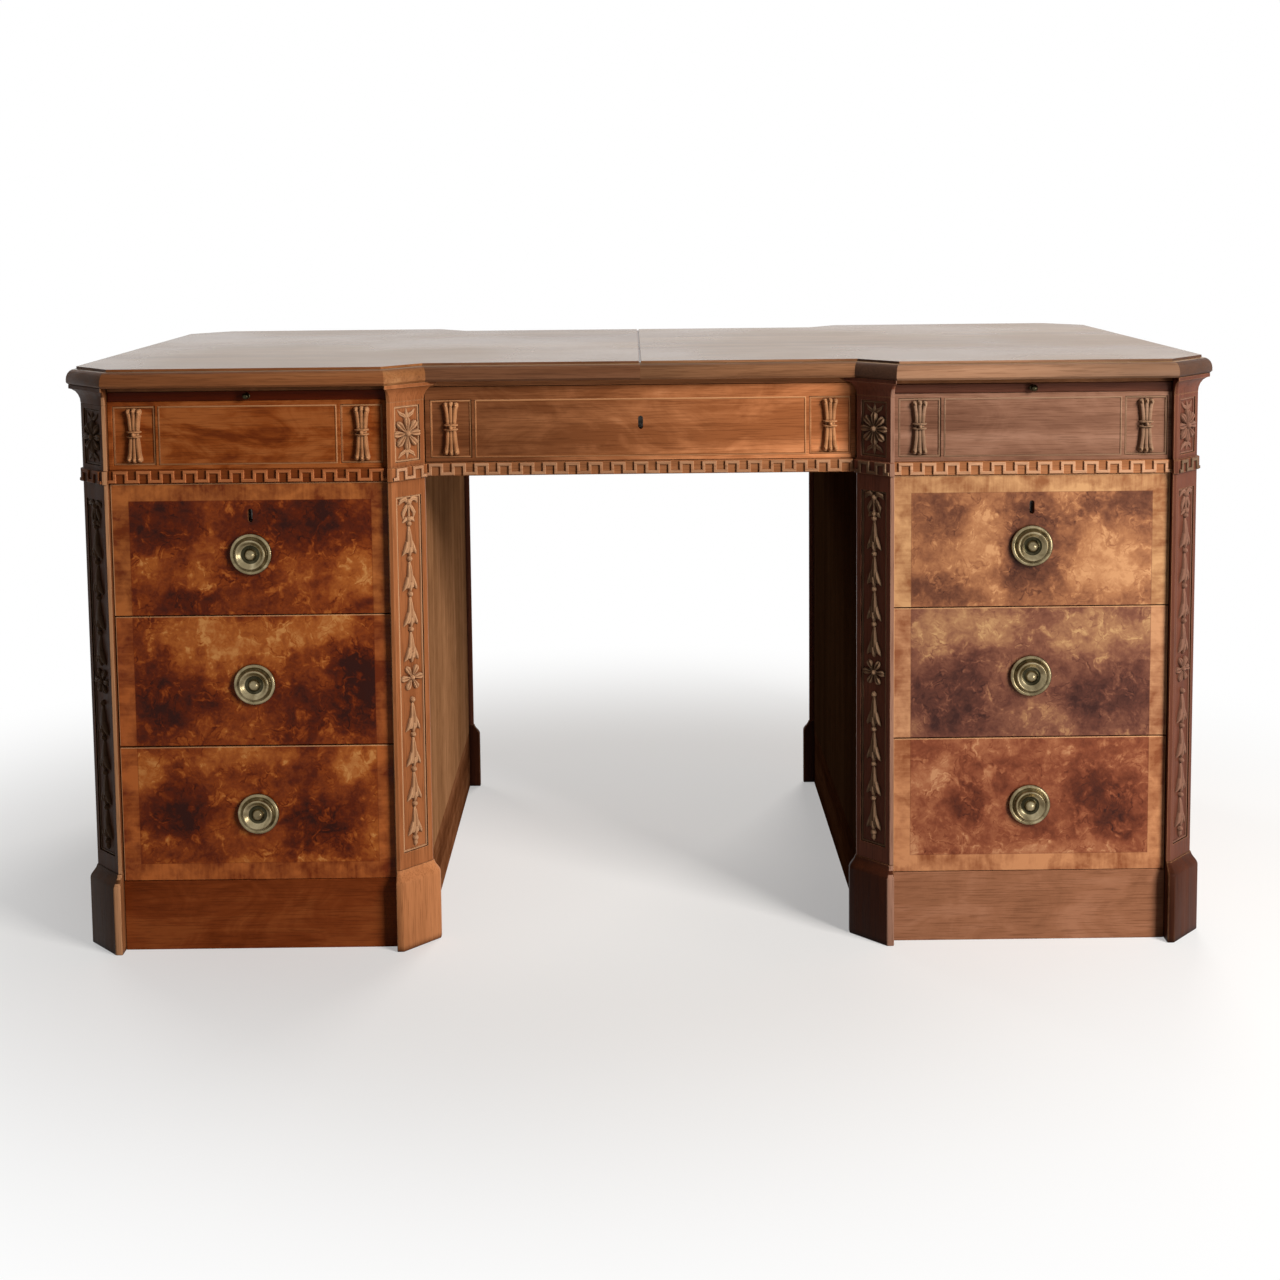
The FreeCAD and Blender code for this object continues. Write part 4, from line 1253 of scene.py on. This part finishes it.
# dark_fret is the left front's darker, redder copy and shaded_fret the right posts' painted-shade copy;
# fret_painted_shade darkens the outer ends with painted shade.
fret_painted_shade = (*desk_corner, 1.0, 0.6)
fret_tones = ((0.350, 0.160, 0.079), (0.447, 0.228, 0.120), (0.545, 0.297, 0.172))
dark_fret_tones = ((0.270, 0.072, 0.022), (0.370, 0.112, 0.037), (0.480, 0.168, 0.062))
fret_walnut = walnut("fret_walnut", "x", fret_tones, fret_seed, fade=fret_painted_shade)
dark_fret = walnut("dark_fret_walnut", "x", dark_fret_tones, fret_seed, fade=fret_painted_shade)
shaded_fret = walnut("shaded_fret_walnut", "x", shaded_carving_tones, fret_seed, fade=shaded_copy_painted_light)
frets = {"key_fret": fret_walnut, "left_key_fret": dark_fret, "right_post_fret": shaded_fret}
fret_shapes = {name: bmesh.new() for name in frets}
face_front, face_centre, face_side, face_inner = 0.345, 0.305, 0.737, 0.293
post_band = 0.003
pedestal_row = fret_row(12, 0.366)
centre_row = fret_row(19, 0.578)
side_row = fret_row(20, 0.612)
post_row = fret_row(2, 0.0545)
for y_sign, turn in ((-1, 0.0), (1, math.pi)):
    facing = Matrix.Rotation(turn, 4, "Z")
    for x in (-stack_middle, stack_middle):
        name = "left_key_fret" if x < 0 and y_sign < 0 else "key_fret"
        add_shape(fret_shapes[name], pedestal_row, Matrix.Translation((x, y_sign * face_front, 0.0)) @ facing)
    centre_place = Matrix.Translation((0.0, y_sign * face_centre, 0.0))
    add_shape(fret_shapes["key_fret"], centre_row, centre_place @ facing)
for x, turn in ((-face_side, -90), (face_side, 90), (-face_inner, 90), (face_inner, -90)):
    facing = Matrix.Rotation(math.radians(turn), 4, "Z")
    add_shape(fret_shapes["key_fret"], side_row, Matrix.Translation((x, 0.0, 0.0)) @ facing)
for side in sides:
    for placing in post_faces(side + "_pedestal_posts", -post_band):
        spot = placing.translation
        name = "key_fret"
        if spot.y < 0.0 and spot.x > 0.0:
            name = "right_post_fret"
        elif spot.y < 0.0 and spot.x < -stack_middle:
            name = "left_key_fret"
        add_shape(fret_shapes[name], post_row, placing)
for row in (pedestal_row, centre_row, side_row, post_row):
    row.free()
for name, finish in frets.items():
    settle(fret_shapes[name], name, "carcass", [finish])


# Centre drawer front
# Figured walnut with a sheaf in a sunk panel at each end and a keyhole in the middle. It has no
# knob: the key draws it.
# The centre drawer's front grows lighter from left to right: painted light.
centre_painted_light = (-0.22, 0.25, 0.88, 1.94)
centre_panels = (-0.2532, 0.2532)
centre_walnut = walnut(
    "centre_drawer_walnut", "x", frieze_tones["centre"], frieze_seeds["centre"], fade=centre_painted_light,
    cloudy=frieze_clouds["centre"],
)
finish_node("centre_drawer_front", "centre_drawer", [centre_walnut], front_arris)
dress_frieze("centre_drawer_front", "centre_drawer", "centre_drawer_carving", centre_panels, sheaf_walnut)
sheaf.free()


# Bearers, runners and fixings inside the frieze unit
# Bearers and kickers for the slides, runners for the centre drawer, the dowels that locate the
# unit and the top, and the screws that hold the top down. They are hidden.
for node in ("slide_bearers", "centre_drawer_runners", "unit_locating_dowels", "top_joint_dowels"):
    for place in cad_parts[node].material_slots:
        place.material = box_wood[1]
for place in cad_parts["top_fixing_screws"].material_slots:
    place.material = steel


# Writing slides
# A thin board over each frieze panel that draws out to carry papers, with a lipped walnut edge and
# a small turned brass knob.
slide_tones = ((0.140, 0.052, 0.019), (0.215, 0.084, 0.033), (0.300, 0.125, 0.053))
slide_walnut = walnut("slide_walnut", "x", slide_tones, 9.4, shine=0.10, cloudy=0.4)
# The lippings' near-black tones are painted shade under the top's overhang.
painted_shade_lipping_tones = {
    "left": ((0.050, 0.006, 0.001), (0.084, 0.011, 0.002), (0.121, 0.019, 0.005)),
    "right": ((0.058, 0.018, 0.010), (0.093, 0.031, 0.018), (0.132, 0.048, 0.029)),
}
slide_arris = 0.0009
lipping_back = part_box("left_slide")[0].y + 0.002
slide_knob_profile = (
    [(0.0, -0.010), (0.0016, -0.010), (0.0016, 0.0), (0.0046, 0.0), (0.0046, 0.0008)]
    + [(0.0030, 0.0016), (0.0022, 0.0026)]
    + rolled(0.0, 0.0063, 0.0046, -58, 90, 12)[:-1]
    + [(0.0, 0.0109)]
)


def slide_part(face):
    """The second finish of a slide is for its lipping."""
    return int(face.calc_center_median().y < lipping_back)


for side in sides:
    body = side + "_slide"
    lipping_walnut = walnut(side + "_lipping_walnut", "x", painted_shade_lipping_tones[side], 9.9)
    finish_node(body, body, [slide_walnut, lipping_walnut], slide_arris, slide_part)
    knob = bmesh.new()
    turned(knob, knob_centre(body + "_knob", body), slide_knob_profile, 40)
    # The slide knob takes the darker brass: painted shade.
    settle(as_carving(knob), body + "_knob_turned", body, [dark_brass], (body + "_knob",))


# Top
# Two halves of polished walnut, dowelled together on a seam at the middle, with a moulded edge
# that follows the breakfront plan. The grain runs the length of the desk.
top_tones = ((0.170, 0.086, 0.036), (0.255, 0.141, 0.062), (0.345, 0.207, 0.100))


def top_walnut(name, seed):
    """Walnut under an old wax polish, paler and greyer than the carcass from years of light."""
    finish = Finish(name)
    grain = finish.stretch(grain_squeeze["x"], (seed, seed * 0.6, 0.0))
    broad = finish.noise(grain, 9.0, 4.0, 0.55, 1.4)
    streaks = finish.noise(grain, 70.0, 5.0, 0.62, 0.6)
    cloud = finish.noise(finish.place, 3.5, 3.0, 0.5)
    colour = finish.ramp(finish.blend(broad, 0.6, streaks), grain_stops, top_tones)
    pores = finish.span(finish.noise(finish.stretch(pore_squeeze["x"]), pore_scale, 2.0, 0.6), 0.40, 0.47)
    colour = finish.darken(colour, 0.5, pores, (0.45, 0.40, 0.36))
    colour = finish.mix(finish.span(cloud, 0.42, 0.7, 0.0, 0.3), colour, (0.30, 0.19, 0.11))
    finish.set("Base Color", colour)
    finish.set("Roughness", finish.span(cloud, 0.3, 0.7, 0.23, 0.33))
    finish.set("Specular IOR Level", 0.5)
    finish.relief(finish.blend(pores, 0.6, streaks), 0.15, 0.0004)
    return finish.material


# Lit and shaded copies for the top's edges: each half, facing and cant takes its own tone, darker where it
# faces away from the light, and edge_painted_light changes them along the desk: painted light and shade.
edge_tones = {
    "left_edge": ((0.168, 0.054, 0.017), (0.257, 0.091, 0.032), (0.345, 0.142, 0.056)),
    "left_middle_edge": ((0.119, 0.047, 0.021), (0.182, 0.079, 0.039), (0.245, 0.124, 0.069)),
    "left_cant": ((0.193, 0.070, 0.022), (0.296, 0.118, 0.042), (0.397, 0.185, 0.073)),
    "right_edge": ((0.180, 0.088, 0.048), (0.257, 0.135, 0.077), (0.335, 0.188, 0.114)),
    "right_middle_edge": ((0.212, 0.092, 0.042), (0.303, 0.142, 0.068), (0.395, 0.197, 0.100)),
    "right_cant": ((0.076, 0.033, 0.017), (0.108, 0.050, 0.028), (0.141, 0.070, 0.041)),
}
edge_painted_light = {
    "left_edge": None,
    "left_middle_edge": None,
    "left_cant": (0.50, 0.60, 1.0, 0.52),
    "right_edge": (0.40, 0.68, 1.42, 0.68),
    "right_middle_edge": (0.0, 0.12, 0.80, 1.07),
    "right_cant": (0.50, 0.60, 1.0, 0.66),
}
field_tilt = 0.97
front_tilt = 0.2
kneehole_half = 0.29
top_arris = 0.0010
waxed = 0.12


def top_part(face):
    """The finish of a face of the top: field, edge, edge of the set-back middle, or front cant."""
    if face.normal.z > field_tilt:
        return 0
    if face.normal.y > -front_tilt:
        return 1
    if abs(face.normal.x) > front_tilt:
        return 3
    return 2 if abs(face.calc_center_median().x) < kneehole_half else 1


for side, seed in (("left", 1.3), ("right", 3.8)):
    finishes = [top_walnut(side + "_top_walnut", seed)]
    for look in (side + "_edge", side + "_middle_edge", side + "_cant"):
        fade = edge_painted_light[look]
        finishes.append(walnut(look + "_walnut", "x", edge_tones[look], seed + 2.0, shine=waxed, fade=fade))
    finish_node(f"top_{side}_half", "carcass", finishes, top_arris, top_part)


# Studio
# A pale floor that fades into a white backdrop. A soft key lamp and a low lamp stand to the right of
# the camera, and two lamps behind light the back and the left end.
floor_size = 12.0
floor_mesh = bpy.data.meshes.new("studio_floor")
floor_shape = bmesh.new()
bmesh.ops.create_grid(floor_shape, x_segments=1, y_segments=1, size=floor_size)
floor_shape.to_mesh(floor_mesh)
floor_shape.free()
floor_finish = Finish("pale_floor")
distance = floor_finish.node("ShaderNodeVectorMath", operation="LENGTH")
floor_finish.feed(distance.inputs[0], floor_finish.stretch((0.8, 1.0, 1.0)))
fade = floor_finish.span(distance.outputs["Value"], 0.50, 1.3, 0.35, 1.0)
floor_finish.set("Roughness", 0.9)
floor_finish.set("Specular IOR Level", 0.1)
glow = floor_finish.node("ShaderNodeEmission")
glow.inputs["Strength"].default_value = 1.0
rays = floor_finish.node("ShaderNodeLightPath")
seen = floor_finish.maths("MAXIMUM", rays.outputs["Is Camera Ray"], rays.outputs["Is Glossy Ray"])
seen = floor_finish.maths("MAXIMUM", seen, rays.outputs["Is Transmission Ray"])
pale = floor_finish.mix(floor_finish.noise(floor_finish.place, 3.0), (0.86, 0.86, 0.86), (0.89, 0.89, 0.89))
floor_finish.set("Base Color", floor_finish.mix(seen, (0.20, 0.19, 0.18), pale))
backdrop = floor_finish.node("ShaderNodeMixShader")
floor_finish.feed(backdrop.inputs[0], floor_finish.maths("MULTIPLY", fade, seen))
floor_finish.feed(backdrop.inputs[1], floor_finish.shader.outputs["BSDF"])
floor_finish.feed(backdrop.inputs[2], glow.outputs["Emission"])
floor_finish.feed(floor_finish.sink.inputs["Surface"], backdrop.outputs["Shader"])
floor_mesh.materials.append(floor_finish.material)
floor = bpy.data.objects.new("studio_floor", floor_mesh)
bpy.context.scene.collection.objects.link(floor)

world = bpy.data.worlds.new("studio")
bpy.context.scene.world = world
world.use_nodes = True
world_tree = world.node_tree
world_tree.nodes.clear()
world_rays = world_tree.nodes.new("ShaderNodeLightPath")
ambient = world_tree.nodes.new("ShaderNodeBackground")
ambient.inputs["Color"].default_value = (1.0, 0.985, 0.96, 1.0)
ambient.inputs["Strength"].default_value = 0.05
white = world_tree.nodes.new("ShaderNodeBackground")
white.inputs["Color"].default_value = (1.0, 1.0, 1.0, 1.0)
white.inputs["Strength"].default_value = 1.0
seen_by_eye = world_tree.nodes.new("ShaderNodeMath")
seen_by_eye.operation = "MAXIMUM"
seen_direct = world_tree.nodes.new("ShaderNodeMath")
seen_direct.operation = "MAXIMUM"
choose = world_tree.nodes.new("ShaderNodeMixShader")
world_out = world_tree.nodes.new("ShaderNodeOutputWorld")
wire(
    world_tree,
    (world_rays, "Is Camera Ray", seen_by_eye, 0),
    (world_rays, "Is Glossy Ray", seen_by_eye, 1),
    (seen_by_eye, "Value", seen_direct, 0),
    (world_rays, "Is Transmission Ray", seen_direct, 1),
    (seen_direct, "Value", choose, 0),
    (ambient, "Background", choose, 1),
    (white, "Background", choose, 2),
    (choose, "Shader", world_out, "Surface"),
)


def soft_lamp(name, spot, aim, size, power):
    """A square soft box aimed at a point."""
    lamp = bpy.data.lights.new(name, "AREA")
    lamp.shape = "SQUARE"
    lamp.size = size
    lamp.energy = power
    lamp.color = (1.0, 0.965, 0.92)
    holder = bpy.data.objects.new(name, lamp)
    holder.location = spot
    holder.rotation_euler = (Vector(aim) - Vector(spot)).to_track_quat("-Z", "Y").to_euler()
    holder.visible_camera = False
    bpy.context.scene.collection.objects.link(holder)
    return holder


soft_lamp("key_lamp", (2.2, -2.1, 1.9), (0.0, 0.0, 0.45), 1.0, 111.0).visible_glossy = False
soft_lamp("low_lamp", (2.1, -2.2, 0.37), (0.0, -0.3, 0.45), 0.7, 26.0)
soft_lamp("rear_lamp", (1.2, 3.2, 2.4), (0.0, 0.0, 0.4), 1.6, 75.0).visible_glossy = False
soft_lamp("end_lamp", (-2.9, 3.0, 1.8), (-0.5, 0.0, 0.4), 1.4, 48.0).visible_glossy = False


# Camera
# The photograph's viewpoint: a little above the top of the desk and a little left of its middle,
# looking slightly down, with the lens shifted down too.
camera_spot = Vector((-0.0121, -2.5877, 0.9836))
camera_yaw, camera_pitch, camera_roll = 0.00534, 0.08697, -0.00988
ahead = math.cos(camera_pitch)
forward = Vector((math.sin(camera_yaw) * ahead, math.cos(camera_yaw) * ahead, -math.sin(camera_pitch)))
level = Vector((math.cos(camera_yaw), -math.sin(camera_yaw), 0.0))
upright = level.cross(forward)
to_right = level * math.cos(camera_roll) + upright * math.sin(camera_roll)
to_top = upright * math.cos(camera_roll) - level * math.sin(camera_roll)
lens = bpy.data.cameras.new("camera")
lens.sensor_width = 36.0
lens.lens = 48.5
lens.shift_y = -0.218
camera = bpy.data.objects.new("camera", lens)
camera_turn = Matrix((to_right, to_top, -forward)).transposed()
camera.matrix_world = Matrix.Translation(camera_spot) @ camera_turn.to_4x4()
bpy.context.scene.collection.objects.link(camera)
bpy.context.scene.camera = camera
bpy.context.scene.view_settings.view_transform = "Standard"
